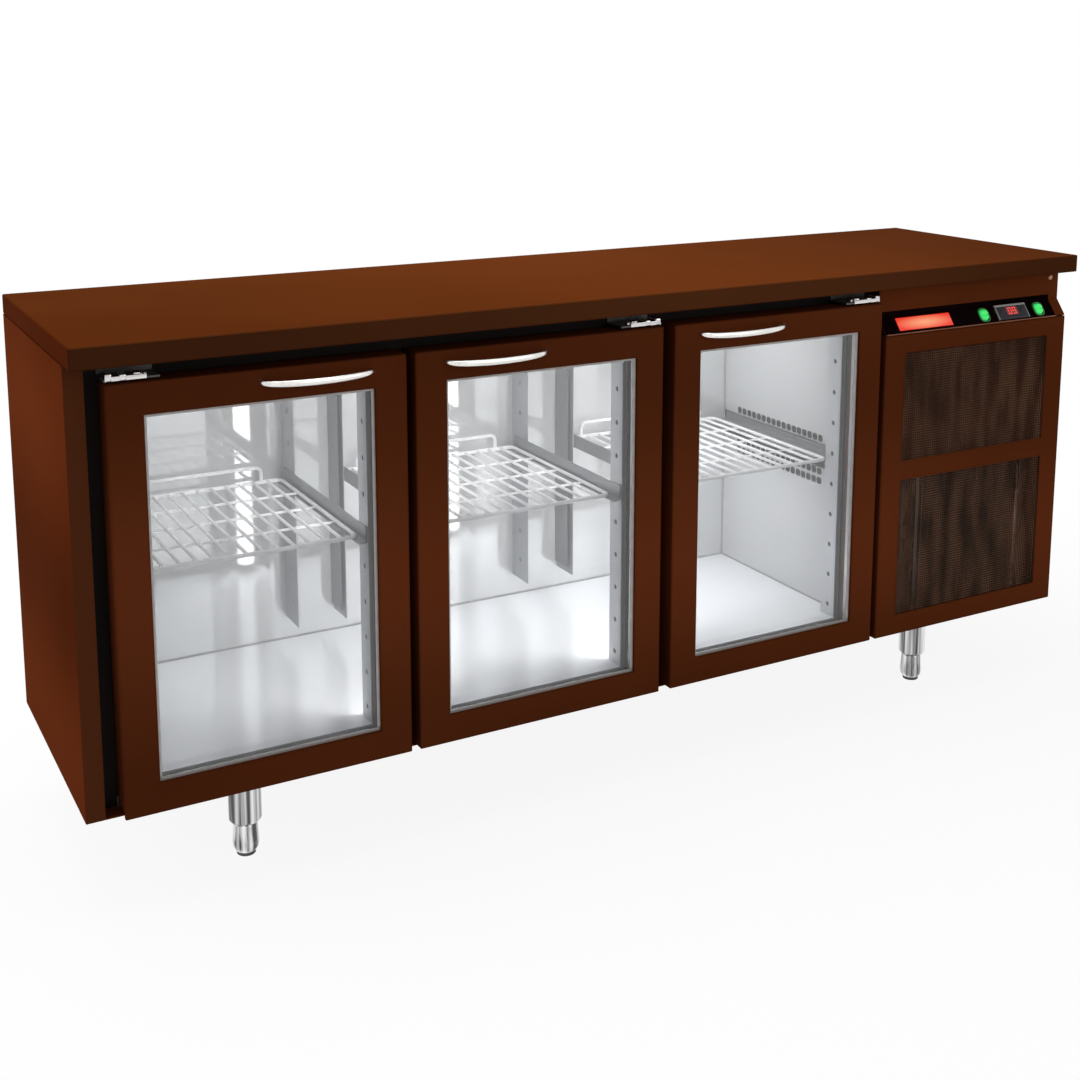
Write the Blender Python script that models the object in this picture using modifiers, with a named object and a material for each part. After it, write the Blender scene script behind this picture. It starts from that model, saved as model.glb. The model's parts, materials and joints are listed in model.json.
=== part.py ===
# Refrigerated bar counter: three glass doors on the left, a cooling unit behind a grille on the right.
# Metres, +Z up, +X along the counter, front towards -Y. The origin is on the floor, in the middle.
import bmesh
import bpy
from math import atan2, cos, hypot, pi, radians, sin
from mathutils import Matrix, Vector

# Overall sizes
LENGTH = 1.835
DEPTH = 0.495
LEG_HEIGHT = 0.150
BODY_HEIGHT = 0.649
TOP_THICKNESS = 0.031
TOP_EDGE_ROUND = 0.0015

# Clearance between pieces that seat on each other
GAP = 0.0003

# Casing
CASING_SETBACK = 0.046
SIDE_PANEL = 0.027
BACK_SHEET = 0.003
BASE_SHEET = 0.002

# Doors, measured from the left end and the countertop's front edge
DOOR_HEAD_GAP = 0.027
DOOR_THICKNESS = 0.042
DOOR_SETBACK = 0.022
DOOR_LIFT = 0.004
FIRST_DOOR = 0.049
GAP_FREE_EDGES = 0.014
GAP_HINGE_EDGE = 0.022
GAP_TO_GRILLE = 0.011
GRILLE_WIDTH = 0.440
HINGE_SIDES = ("left", "right", "right")
STILE = 0.050
BOTTOM_RAIL = 0.045
TOP_RAIL = 0.046
DOOR_EDGE_ROUND = 0.0012
GLASS_LIP = 0.006
GLASS_BITE = 0.012
GLASS_THICKNESS = 0.022
GASKET_INSET = 0.015
GASKET_WIDTH = 0.012
GASKET_THICKNESS = 0.0095

# Door hinges: a pin in the top and bottom edge of each door
PIVOT_INSET = 0.014
PIVOT_DEPTH = 0.017
PIN_RADIUS = 0.004
PIN_BITE = 0.012
TOP_HINGE_LENGTH = 0.076
HINGE_PLATE = 0.005
HINGE_LIP = 0.003
HINGE_LIP_HEIGHT = 0.009
HINGE_NOSE = 0.012
HINGE_LIFT = 0.002
HINGE_LEAF = 0.003
ARM_HALF_WIDTH = 0.007
ARM_CLEARANCE = 0.001
NOTCH_HEIGHT = 0.010

# Bow handles
HANDLE_LENGTH = 0.166
HANDLE_INSET = 0.052
HANDLE_DROP = 0.022
HANDLE_PROJECTION = 0.026
HANDLE_RADIUS = 0.0045
HANDLE_STUB = 0.004
HANDLE_FULLNESS = 0.7
HANDLE_POINTS = 13

# Face frame behind the doors, with returns that carry the shelf rails
FRAME_SHEET = 0.0015
LEFT_REVEAL = 0.030
RIGHT_REVEAL = 0.045
RETURN_DEPTH = 0.036
OPENING_HEAD = 0.057
PEG_HOLE = 0.007
PEG_PITCH = 0.0565
PEG_FIRST = 0.116
PEG_COUNT = 8

# Insulated liner
FLOOR = 0.038
LINER_ROOF = 0.051
BACK_WALL = 0.032
COVER_OFFSET = 0.029
EVAPORATOR_BAY = 0.087
PARTITION = 0.035

# Shelves, rails and the rear channels
SHELF_LEVEL = 0.326
SHELF_FRONT = 0.098
SHELF_BACK_GAP = 0.011
SHELF_SIDE_GAP = 0.003
WIRE = 0.005
SHELF_WIRES = 10
SHELF_CROSS_WIRES = 4
BACKSTOP_HEIGHT = 0.028
BACKSTOP_INSET = 0.035
STOP_WIRE = 0.004
RAIL_SHEET = 0.0015
RAIL_HEIGHT = 0.036
RAIL_LEDGE = 0.014
CHANNEL_SHEET = 0.0015
CHANNEL_DEPTH = 0.062
CHANNEL_FOOT = 0.040

# Lamps behind the posts between the bays
LAMP_RADIUS = 0.014
LAMP_CAP_RADIUS = 0.016
LAMP_CAP = 0.022
LAMP_END_GAP = 0.012

# Evaporator, its cover and its fan
COVER_SHEET = 0.0015
SLOT_ROWS = ((0.265, 0.275), (0.283, 0.293), (0.345, 0.356))
SLOT_FRONT_MARGIN = 0.043
SLOT_BACK_MARGIN = 0.048
SLOT_COUNT = 12
SLOT_BAR = 0.0096
COIL_THICKNESS = 0.060
COIL_BACK_GAP = 0.018
COIL_FOOT = 0.222
COIL_HEAD_GAP = 0.028
COIL_FINS = 12
FIN_SLOT = 0.008
FIN_SLOT_DEPTH = 0.018
COLD_FAN_PLACE = (0.270, 0.150)
COLD_FAN_RADIUS = 0.075
COLD_MOTOR_RADIUS = 0.028
COLD_MOTOR_LENGTH = 0.036

# Fans
HUB_RADIUS = 0.020
HUB_LENGTH = 0.022
HUB_NOSE = 0.004
SHAFT_RADIUS = 0.004
BLADE_COUNT = 5
BLADE_CHORD = 0.032
BLADE_SHEET = 0.003
BLADE_PITCH = radians(32)

# Grille panel and its mesh
GRILLE_SHEET = 0.0015
GRILLE_STILE = 0.046
GRILLE_BOTTOM_RAIL = 0.038
MIDDLE_RAIL = 0.036
GRILLE_TOP_RAIL = 0.034
LOWER_WINDOW_SHARE = 0.562
MESH_SHEET = 0.001
MESH_MARGIN = 0.020
MESH_COLUMNS = 8
MESH_LOWER_ROWS = 5
MESH_UPPER_ROWS = 4
MESH_BAR = 0.006

# Control panel: a fascia strip folded forward into a sloping face
FASCIA_HEIGHT = 0.057
SLOPE_DROP = 0.030
CONTROL_SHEET = 0.0015
CUTOUT_HEIGHT = 0.022
SWITCH_WIDTH = 0.0136
POWER_SWITCH_AT = 0.198
LIGHT_SWITCH_AT = 0.060
SWITCH_TILT = radians(8)
ROCKER_CLEARANCE = 0.0007
ROCKER_END_RISE = 0.0035
ROCKER_VALLEY = 0.0015
ROCKER_DEPTH = 0.006
THERMOSTAT_AT = 0.1305
THERMOSTAT_CUTOUT = 0.071
THERMOSTAT_BEZEL = (0.078, 0.030, 0.004)
THERMOSTAT_BODY_DEPTH = 0.035

# Cooling unit
CONDENSER_SIZE = (0.260, 0.038, 0.280)
CONDENSER_SETBACK = 0.062
CONDENSER_FINS = 14
SHROUD_DEPTH = 0.036
SHROUD_SHEET = 0.002
HOT_FAN_RADIUS = 0.092
HOT_FAN_CLEARANCE = 0.006
HOT_FAN_LEVEL = 0.145
HOT_MOTOR_RADIUS = 0.032
HOT_MOTOR_LENGTH = 0.045
MOTOR_STRAP = 0.024
STRAP_SHEET = 0.004
COMPRESSOR_RADIUS = 0.090
COMPRESSOR_HEIGHT = 0.185
CAN_DOME = 0.050
CAN_BELLY = 0.065
CAN_TUCK = (0.077, 0.022)
CAN_FOOT_RADIUS = 0.054
COMPRESSOR_BACK = 0.150
COMPRESSOR_PLATE = (0.210, 0.170, 0.004)

# Cord gland in the base
GLAND_PLACE = (0.062, 0.040)
GLAND_FLANGE_RADIUS = 0.018
GLAND_FLANGE = 0.004
GLAND_NECK_RADIUS = 0.012
GLAND_NECK = 0.010
GLAND_BORE = 0.005

# Legs
LEG_INSET = 0.250
LEG_SETBACK = 0.128
LEG_FLANGE_RADIUS = 0.036
LEG_FLANGE = 0.005
LEG_RADIUS = 0.025
LEG_TUBE = 0.098
LEG_CHAMFER = (0.004, 0.006)
LEG_BORE_DEPTH = 0.058
FOOT_STEM_RADIUS = 0.015
FOOT_STEM = 0.053
FOOT_NECK_RADIUS = 0.0185
FOOT_RADIUS = 0.0205
FOOT_TOE_RADIUS = 0.0145
FOOT_TAPER = 0.013

# Facets round a turned piece
TURN_STEPS = 14
PIN_STEPS = 12
CAN_STEPS = 20
DOME_STEPS = 4

# Worked out from the sizes above
HANDLE_FRONT = min(0.0, DOOR_SETBACK - HANDLE_PROJECTION)
MIDDLE_DEPTH = (DEPTH + HANDLE_FRONT) / 2
DOOR_WIDTH = (LENGTH - FIRST_DOOR - GAP_FREE_EDGES - GAP_HINGE_EDGE - GAP_TO_GRILLE - GRILLE_WIDTH) / 3
DOOR_LEFTS = [FIRST_DOOR]
for door_gap in (GAP_FREE_EDGES, GAP_HINGE_EDGE):
    DOOR_LEFTS.append(DOOR_LEFTS[-1] + DOOR_WIDTH + door_gap)
DOOR_TOP = BODY_HEIGHT - DOOR_HEAD_GAP
OPENING_TOP = BODY_HEIGHT - OPENING_HEAD
CEILING = BODY_HEIGHT - LINER_ROOF
FASCIA_BOTTOM = BODY_HEIGHT - FASCIA_HEIGHT
GRILLE_TOP = FASCIA_BOTTOM - SLOPE_DROP
GRILLE_RAILS = GRILLE_BOTTOM_RAIL + MIDDLE_RAIL + GRILLE_TOP_RAIL
WINDOW_HEIGHTS = GRILLE_TOP - DOOR_LIFT - GRILLE_RAILS
LOWER_WINDOW = LOWER_WINDOW_SHARE * WINDOW_HEIGHTS
UPPER_WINDOW = WINDOW_HEIGHTS - LOWER_WINDOW
DOOR_BACK = DOOR_SETBACK + DOOR_THICKNESS
PIVOT_SETBACK = DOOR_SETBACK + PIVOT_DEPTH
FRAME_FACE = DOOR_BACK + GASKET_THICKNESS + 2 * GAP
FRAME_BACK = FRAME_FACE + FRAME_SHEET
OPENINGS = [(left + LEFT_REVEAL, left + DOOR_WIDTH - RIGHT_REVEAL) for left in DOOR_LEFTS]
COVER_FACE = OPENINGS[-1][1] + COVER_OFFSET
COVER_BACK = COVER_FACE + COVER_SHEET
EVAPORATOR_WALL = COVER_BACK + EVAPORATOR_BAY
COLD_END = EVAPORATOR_WALL + PARTITION
LINER_BACK = DEPTH - BACK_WALL
RETURN_BACK = FRAME_BACK + RETURN_DEPTH
SLOT_SPAN = (RETURN_BACK + SLOT_FRONT_MARGIN, LINER_BACK - SLOT_BACK_MARGIN)
COIL_SPAN = (RETURN_BACK, LINER_BACK - COIL_BACK_GAP)
COIL_LEVELS = (FLOOR + COIL_FOOT, CEILING - COIL_HEAD_GAP)
CASING_TOP = BODY_HEIGHT - GAP
CASING_RIGHT = LENGTH - SIDE_PANEL - GAP
CASING_LEFT = SIDE_PANEL + GAP
BASE_TOP = BASE_SHEET + GAP
SHELF_BACK = LINER_BACK - SHELF_BACK_GAP
GRILLE_LEFT = LENGTH - GRILLE_WIDTH
GRILLE_BACK = CASING_SETBACK - GAP
FASCIA_FACE = GRILLE_BACK - CONTROL_SHEET
SLOPE_FOOT = (DOOR_SETBACK + CONTROL_SHEET, GRILLE_TOP + CONTROL_SHEET + GAP)
SLOPE_RUN = FASCIA_FACE - SLOPE_FOOT[0]
SLOPE_RISE = FASCIA_BOTTOM - SLOPE_FOOT[1]
SLOPE_LENGTH = hypot(SLOPE_RUN, SLOPE_RISE)
SLOPE_LEAN = atan2(SLOPE_RUN, SLOPE_RISE)
UNIT_MIDDLE = (COLD_END + CASING_RIGHT) / 2

for old in list(bpy.data.objects):
    bpy.data.objects.remove(old, do_unlink=True)

counter = bpy.data.collections.new("refrigerated_bar_counter")
tools = bpy.data.collections.new("cutters")
for group in (counter, tools):
    bpy.context.scene.collection.children.link(group)


def finish(name, colour, roughness, metallic=0.0, alpha=1.0):
    """A plain surface of one colour."""
    material = bpy.data.materials.new(name)
    material.use_nodes = True
    shader = material.node_tree.nodes["Principled BSDF"]
    shader.inputs["Base Color"].default_value = (*colour, 1.0)
    shader.inputs["Roughness"].default_value = roughness
    shader.inputs["Metallic"].default_value = metallic
    shader.inputs["Alpha"].default_value = alpha
    return material


BROWN = finish("brown_paint", (0.105, 0.028, 0.009), 0.25)
STAINLESS = finish("stainless_steel", (0.70, 0.71, 0.73), 0.18, 1.0)
CHROME = finish("chrome", (0.85, 0.85, 0.86), 0.08, 1.0)
WIRE_COAT = finish("plated_wire", (0.86, 0.87, 0.88), 0.30, 0.6)
GLASS = finish("door_glass", (0.85, 0.90, 0.90), 0.03, 0.0, 0.25)
RUBBER = finish("grey_rubber", (0.10, 0.10, 0.10), 0.70)
LAMP_WHITE = finish("lamp_diffuser", (0.95, 0.96, 1.00), 0.40)
FIN_METAL = finish("fin_aluminium", (0.60, 0.61, 0.62), 0.40, 1.0)
MESH_METAL = finish("mesh_metal", (0.10, 0.07, 0.06), 0.45, 0.8)
BLACK_PLASTIC = finish("black_plastic", (0.015, 0.015, 0.016), 0.40)
GREEN_PLASTIC = finish("green_rocker", (0.05, 0.65, 0.15), 0.30)
CAN_PAINT = finish("compressor_paint", (0.020, 0.020, 0.022), 0.45)


def at(across, setback, level):
    """A point given from the left end, the countertop's front edge and the casing's underside."""
    return Vector((across - LENGTH / 2, setback - MIDDLE_DEPTH, level + LEG_HEIGHT))


def add(name, data, material=None, group=counter):
    """Put a mesh or a curve into the scene as an object."""
    piece = bpy.data.objects.new(name, data)
    group.objects.link(piece)
    if material:
        data.materials.append(material)
    return piece


def hide_tool(piece):
    """Keep a cutter or a joined shape out of the finished object."""
    for group in list(piece.users_collection):
        group.objects.unlink(piece)
    tools.objects.link(piece)
    piece.hide_render = True
    piece.display_type = "WIRE"
    return piece


def combine(piece, other, operation):
    """Cut the other shape out of the piece, or join it to the piece."""
    hide_tool(other)
    change = piece.modifiers.new(other.name, "BOOLEAN")
    change.operation = operation
    change.solver = "EXACT"
    change.object = other
    return piece


def cut(piece, *others):
    for other in others:
        combine(piece, other, "DIFFERENCE")
    return piece


def join(piece, *others):
    for other in others:
        combine(piece, other, "UNION")
    return piece


def soften(piece, width):
    """Round the edges by one small facet."""
    bevel = piece.modifiers.new("edges", "BEVEL")
    bevel.width = width
    bevel.segments = 1
    bevel.limit_method = "ANGLE"
    return piece


def block(name, low, high, material=None):
    """A box between two corners."""
    mesh = bpy.data.meshes.new(name)
    shape = bmesh.new()
    bmesh.ops.create_cube(shape, size=1.0)
    middle = (low + high) / 2
    size = high - low
    placed = Matrix.Translation(middle) @ Matrix.Diagonal((*size, 1.0))
    bmesh.ops.transform(shape, matrix=placed, verts=shape.verts)
    shape.to_mesh(mesh)
    shape.free()
    return add(name, mesh, material)


def rod(name, start, end, radius, steps=PIN_STEPS, material=None):
    """A round bar from one point to another."""
    mesh = bpy.data.meshes.new(name)
    shape = bmesh.new()
    run = end - start
    bmesh.ops.create_cone(shape, cap_ends=True, segments=steps, radius1=radius, radius2=radius,
                          depth=run.length)
    turn = Vector((0, 0, 1)).rotation_difference(run).to_matrix().to_4x4()
    bmesh.ops.transform(shape, matrix=Matrix.Translation((start + end) / 2) @ turn, verts=shape.verts)
    shape.to_mesh(mesh)
    shape.free()
    mesh.shade_smooth()
    mesh.set_sharp_from_angle(angle=radians(40))
    return add(name, mesh, material)


def turned(name, place, profile, steps, material=None, ring=False):
    """A profile of (radius, height) points, outer side downwards, turned about the vertical."""
    mesh = bpy.data.meshes.new(name)
    shape = bmesh.new()
    corners = [shape.verts.new((radius, 0, height)) for radius, height in profile]
    for first, second in zip(corners, corners[1:] + corners[:1] if ring else corners[1:]):
        shape.edges.new((first, second))
    shape.to_mesh(mesh)
    shape.free()
    piece = add(name, mesh, material)
    piece.location = place
    screw = piece.modifiers.new("turn", "SCREW")
    screw.steps = steps
    screw.render_steps = steps
    screw.use_merge_vertices = True
    screw.merge_threshold = 0.00001
    screw.use_smooth_shade = True
    return piece


def sheet(name, columns, rows, opened, to_point, thickness, material=None):
    """A sheet on a grid of column and row lines, without its opened cells, thickened behind its face."""
    mesh = bpy.data.meshes.new(name)
    shape = bmesh.new()
    across, along = len(columns) - 1, len(rows) - 1
    bmesh.ops.create_grid(shape, x_segments=across, y_segments=along, size=0.5)
    cells = {corner: (round((corner.co.x + 0.5) * across), round((corner.co.y + 0.5) * along))
             for corner in shape.verts}
    gone = []
    for face in shape.faces:
        cell = tuple(min(cells[corner][i] for corner in face.verts) for i in (0, 1))
        if cell in opened:
            gone.append(face)
    for corner, (column, row) in cells.items():
        corner.co = to_point(columns[column], rows[row])
    bmesh.ops.delete(shape, geom=gone, context="FACES")
    shape.to_mesh(mesh)
    shape.free()
    piece = add(name, mesh, material)
    solid = piece.modifiers.new("thickness", "SOLIDIFY")
    solid.thickness = thickness
    solid.offset = -1.0
    solid.use_even_offset = True
    return piece


def breaks(low, high, holes):
    """Grid lines from low to high with a line at both edges of each hole, so odd cells are holes."""
    return [low] + [edge for hole in holes for edge in hole] + [high]


def spread(low, high, count, bar):
    """As many equal holes as count between low and high, with a bar between neighbours."""
    hole = (high - low - bar * (count - 1)) / count
    return [(low + i * (hole + bar), low + i * (hole + bar) + hole) for i in range(count)]


def odd_cells(columns, rows):
    return {(i, j) for i in range(1, len(columns) - 1, 2) for j in range(1, len(rows) - 1, 2)}


def lattice(name, columns, rows, to_point, thickness, material=None):
    """A sheet in which every odd cell is a hole."""
    return sheet(name, columns, rows, odd_cells(columns, rows), to_point, thickness, material)


def pivot(name, place):
    """An empty on a joint's axis."""
    empty = bpy.data.objects.new(name, None)
    counter.objects.link(empty)
    empty.location = place
    return empty


def carry(holder, *pieces):
    """Parent pieces to an empty without moving them."""
    for piece in pieces:
        piece.parent = holder
        piece.matrix_parent_inverse = Matrix.Translation(-holder.location)


def make_casing():
    """Countertop, side panels, back and base."""
    top = block("countertop", at(0, 0, BODY_HEIGHT), at(LENGTH, DEPTH, BODY_HEIGHT + TOP_THICKNESS), BROWN)
    soften(top, TOP_EDGE_ROUND)
    block("left_side_panel", at(0, CASING_SETBACK, 0), at(SIDE_PANEL, DEPTH, CASING_TOP), BROWN)
    block("right_side_panel", at(LENGTH - SIDE_PANEL, CASING_SETBACK, 0), at(LENGTH, DEPTH, CASING_TOP),
          BROWN)
    block("back_panel", at(CASING_LEFT, DEPTH - BACK_SHEET, 0), at(CASING_RIGHT, DEPTH, CASING_TOP), BROWN)
    base = block("base_panel", at(CASING_LEFT, CASING_SETBACK, 0),
                 at(CASING_RIGHT, DEPTH - BACK_SHEET - GAP, BASE_SHEET), BROWN)
    hole = gland_middle()
    reach = Vector((0, 0, BASE_SHEET))
    cut(base, rod("gland_hole", hole - reach, hole + 2 * reach, GLAND_NECK_RADIUS + GAP, TURN_STEPS))


def gland_middle():
    """Where the cord would leave, near the right rear corner of the base."""
    return at(LENGTH - GLAND_PLACE[0], DEPTH - GLAND_PLACE[1], 0)


def make_gland():
    """A flanged bush in the base, open for a cord."""
    profile = [(GLAND_BORE, GLAND_NECK), (GLAND_NECK_RADIUS - GAP, GLAND_NECK),
               (GLAND_NECK_RADIUS - GAP, -GAP), (GLAND_FLANGE_RADIUS, -GAP),
               (GLAND_FLANGE_RADIUS, -GLAND_FLANGE), (GLAND_BORE, -GLAND_FLANGE)]
    turned("cord_gland", gland_middle(), profile, TURN_STEPS, BLACK_PLASTIC, ring=True)


def make_liner():
    """Insulated tub, open at the front, with the partition to the cooling unit as its right wall."""
    liner = block("cold_liner", at(CASING_LEFT, FRAME_BACK + GAP, BASE_TOP),
                  at(COLD_END, DEPTH - BACK_SHEET - GAP, CASING_TOP), STAINLESS)
    room = block("liner_room", at(OPENINGS[0][0] - FRAME_SHEET - GAP, FRAME_BACK - BACK_WALL, FLOOR),
                 at(EVAPORATOR_WALL, LINER_BACK, CEILING))
    cut(liner, room)


def peg_holes():
    return [(PEG_FIRST + i * PEG_PITCH - PEG_HOLE / 2, PEG_FIRST + i * PEG_PITCH + PEG_HOLE / 2)
            for i in range(PEG_COUNT)]


def make_face_frame():
    """Steel frame that the gaskets seal on, with a drilled return at both sides of each opening."""
    columns = breaks(CASING_LEFT, COLD_END, OPENINGS)
    rows = breaks(BASE_TOP, CASING_TOP, [(FLOOR, OPENING_TOP)])
    frame = lattice("front_frame", columns, rows, lambda x, z: at(x, FRAME_FACE, z), FRAME_SHEET, STAINLESS)
    hole = FRAME_BACK + RETURN_DEPTH / 2
    depth_lines = breaks(FRAME_FACE + FRAME_SHEET / 2, RETURN_BACK,
                         [(hole - PEG_HOLE / 2, hole + PEG_HOLE / 2)])
    height_lines = breaks(FLOOR + GAP, OPENING_TOP, peg_holes())
    for number, (left, right) in enumerate(OPENINGS, start=1):
        for side, face in (("left", left), ("right", right + FRAME_SHEET)):
            drilled = lattice(f"return_{number}_{side}", depth_lines, height_lines,
                              lambda y, z, x=face: at(x, y, z), FRAME_SHEET)
            join(frame, drilled)


def channel(name, left, right):
    """Upright channel on the back wall, with a flange at each neighbouring bay."""
    left, right = left + CHANNEL_SHEET, right - CHANNEL_SHEET
    lines = [0, CHANNEL_DEPTH, CHANNEL_DEPTH + right - left, 2 * CHANNEL_DEPTH + right - left]
    web = LINER_BACK - GAP - CHANNEL_SHEET
    nose = LINER_BACK - GAP - CHANNEL_DEPTH
    corners = dict(zip(lines, ((left, nose), (left, web), (right, web), (right, nose))))
    return sheet(name, lines, [FLOOR + CHANNEL_FOOT, CEILING - GAP], set(),
                 lambda u, z: at(*corners[u], z), CHANNEL_SHEET, STAINLESS)


def rail(name, face, inward, ledge, front):
    """Angle rail: a leg against its wall and a ledge under the shelf's edge."""
    lines = [0, RAIL_HEIGHT, RAIL_HEIGHT + ledge]
    corners = dict(zip(lines, ((face, SHELF_LEVEL + RAIL_HEIGHT), (face, SHELF_LEVEL),
                               (face + inward * ledge, SHELF_LEVEL))))
    ends = [front + SHELF_SIDE_GAP, SHELF_BACK]
    return sheet(name, lines, ends if inward > 0 else ends[::-1], set(),
                 lambda u, y: at(corners[u][0], y, corners[u][1]), -RAIL_SHEET, STAINLESS)


def make_racks():
    """Rear channels between the bays, and a rail at both sides of each bay."""
    for number in (1, 2):
        channel(f"rear_channel_{number}", OPENINGS[number - 1][1], OPENINGS[number][0])
    for number, (left, right) in enumerate(OPENINGS, start=1):
        rail(f"shelf_rail_{number}_left", left + GAP, 1, RAIL_LEDGE, FRAME_BACK)
        if number < len(OPENINGS):
            rail(f"shelf_rail_{number}_right", right - GAP, -1, RAIL_LEDGE, FRAME_BACK)
        else:
            rail(f"shelf_rail_{number}_right", COVER_FACE - GAP, -1, RAIL_LEDGE + COVER_OFFSET,
                 RETURN_BACK)


def wire_lines(low, high, count):
    """Grid lines of equally spread wires, so even cells are wires and odd cells are gaps."""
    step = (high - low - WIRE) / (count - 1)
    return [low + i * step + edge for i in range(count) for edge in (0, WIRE)]


def make_shelves():
    """Wire shelves, each with a raised stop along its back edge."""
    top = SHELF_LEVEL + RAIL_SHEET + GAP + WIRE
    for number, (left, right) in enumerate(OPENINGS, start=1):
        inset = GAP + RAIL_SHEET + SHELF_SIDE_GAP
        columns = wire_lines(left + inset, right - inset, SHELF_WIRES)
        rows = wire_lines(SHELF_FRONT, SHELF_BACK, SHELF_CROSS_WIRES)
        shelf = lattice(f"wire_shelf_{number}", columns, rows, lambda x, y: at(x, y, top), WIRE, WIRE_COAT)
        low, high = columns[0] + BACKSTOP_INSET, columns[-1] - BACKSTOP_INSET
        stop = sheet(f"backstop_{number}", [low, low + WIRE, high - WIRE, high],
                     [top - WIRE / 2, top + BACKSTOP_HEIGHT - WIRE, top + BACKSTOP_HEIGHT], {(1, 0)},
                     lambda x, z: at(x, SHELF_BACK - (WIRE + STOP_WIRE) / 2, z), STOP_WIRE)
        join(shelf, stop)


def make_lamps():
    """Upright tube lamps on the back of the posts between the bays."""
    low, high = FLOOR + LAMP_END_GAP, CEILING - LAMP_END_GAP
    profile = [(0, high), (LAMP_CAP_RADIUS, high), (LAMP_CAP_RADIUS, high - LAMP_CAP),
               (LAMP_RADIUS, high - LAMP_CAP), (LAMP_RADIUS, low + LAMP_CAP),
               (LAMP_CAP_RADIUS, low + LAMP_CAP), (LAMP_CAP_RADIUS, low), (0, low)]
    for number in (1, 2):
        middle = (OPENINGS[number - 1][1] + OPENINGS[number][0]) / 2
        place = at(middle, FRAME_BACK + GAP + LAMP_CAP_RADIUS, 0)
        turned(f"lamp_{number}", place, profile, TURN_STEPS, LAMP_WHITE)


def fan(name, place, axis, radius, material):
    """Rotor with a bored hub; axis points from the motor to the hub's nose."""
    turn = Vector((0, 0, 1)).rotation_difference(axis).to_matrix().to_4x4()
    placed = Matrix.Translation(place) @ turn
    half = Vector((0, 0, HUB_LENGTH / 2))
    rotor = rod(name, -half, half, HUB_RADIUS, TURN_STEPS, material)
    bore = rod(f"{name}_bore", -2 * half, half - Vector((0, 0, HUB_NOSE)), SHAFT_RADIUS + GAP)
    blades = []
    for i in range(BLADE_COUNT):
        span = radius - HUB_RADIUS / 2
        blade = block(f"{name}_blade_{i}", Vector((-BLADE_CHORD / 2, 0, -BLADE_SHEET / 2)),
                      Vector((BLADE_CHORD / 2, span, BLADE_SHEET / 2)))
        blade.matrix_world = (placed @ Matrix.Rotation(2 * pi * i / BLADE_COUNT, 4, "Z")
                              @ Matrix.Translation((0, HUB_RADIUS / 2, 0))
                              @ Matrix.Rotation(BLADE_PITCH, 4, "Y"))
        blades.append(blade)
    rotor.matrix_world = placed
    bore.matrix_world = placed
    join(rotor, *blades)
    cut(rotor, bore)
    return rotor


def make_evaporator():
    """Slotted cover, finned coil, and a fan on its own motor, at the right end of the cold space."""
    slots = spread(*SLOT_SPAN, SLOT_COUNT, SLOT_BAR)
    columns = breaks(RETURN_BACK + GAP, LINER_BACK - GAP, slots)
    rows = breaks(FLOOR + GAP, CEILING - GAP, SLOT_ROWS)
    lattice("evaporator_cover", columns, rows, lambda y, z: at(COVER_BACK, y, z), COVER_SHEET, STAINLESS)
    wall = EVAPORATOR_WALL - GAP
    coil = block("evaporator_coil", at(wall - COIL_THICKNESS, COIL_SPAN[0], COIL_LEVELS[0]),
                 at(wall, COIL_SPAN[1], COIL_LEVELS[1]), FIN_METAL)
    step = (COIL_SPAN[1] - COIL_SPAN[0]) / COIL_FINS
    for i in range(COIL_FINS):
        start = COIL_SPAN[0] + step * (i + 0.5) - FIN_SLOT / 2
        face = wall - COIL_THICKNESS
        groove = block(f"coil_groove_{i}", at(face - FIN_SLOT_DEPTH, start, COIL_LEVELS[0] - FIN_SLOT),
                       at(face + FIN_SLOT_DEPTH, start + FIN_SLOT, COIL_LEVELS[1] + FIN_SLOT))
        cut(coil, groove)
    setback, level = COLD_FAN_PLACE
    reach = COLD_MOTOR_LENGTH + GAP + HUB_LENGTH
    motor = rod("evaporator_fan_motor", at(wall - COLD_MOTOR_LENGTH, setback, level),
                at(wall, setback, level), COLD_MOTOR_RADIUS, TURN_STEPS, BLACK_PLASTIC)
    shaft = rod("evaporator_shaft", at(wall - reach + HUB_LENGTH / 4, setback, level),
                at(wall - COLD_MOTOR_LENGTH / 2, setback, level), SHAFT_RADIUS)
    join(motor, shaft)
    middle = at(wall - COLD_MOTOR_LENGTH - GAP - HUB_LENGTH / 2, setback, level)
    fan("evaporator_fan", middle, Vector((-1, 0, 0)), COLD_FAN_RADIUS, BLACK_PLASTIC)


def pivot_place(number):
    """Plan position of a door's hinge pins, the side it hangs on, and the way to the free edge."""
    left = DOOR_LEFTS[number - 1]
    if HINGE_SIDES[number - 1] == "left":
        return left + PIVOT_INSET, left, 1
    return left + DOOR_WIDTH - PIVOT_INSET, left + DOOR_WIDTH, -1


def span(name, first, second, setbacks, levels, material=None):
    """A box between two positions along the counter, given in either order."""
    low, high = min(first, second), max(first, second)
    return block(name, at(low, setbacks[0], levels[0]), at(high, setbacks[1], levels[1]), material)


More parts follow.
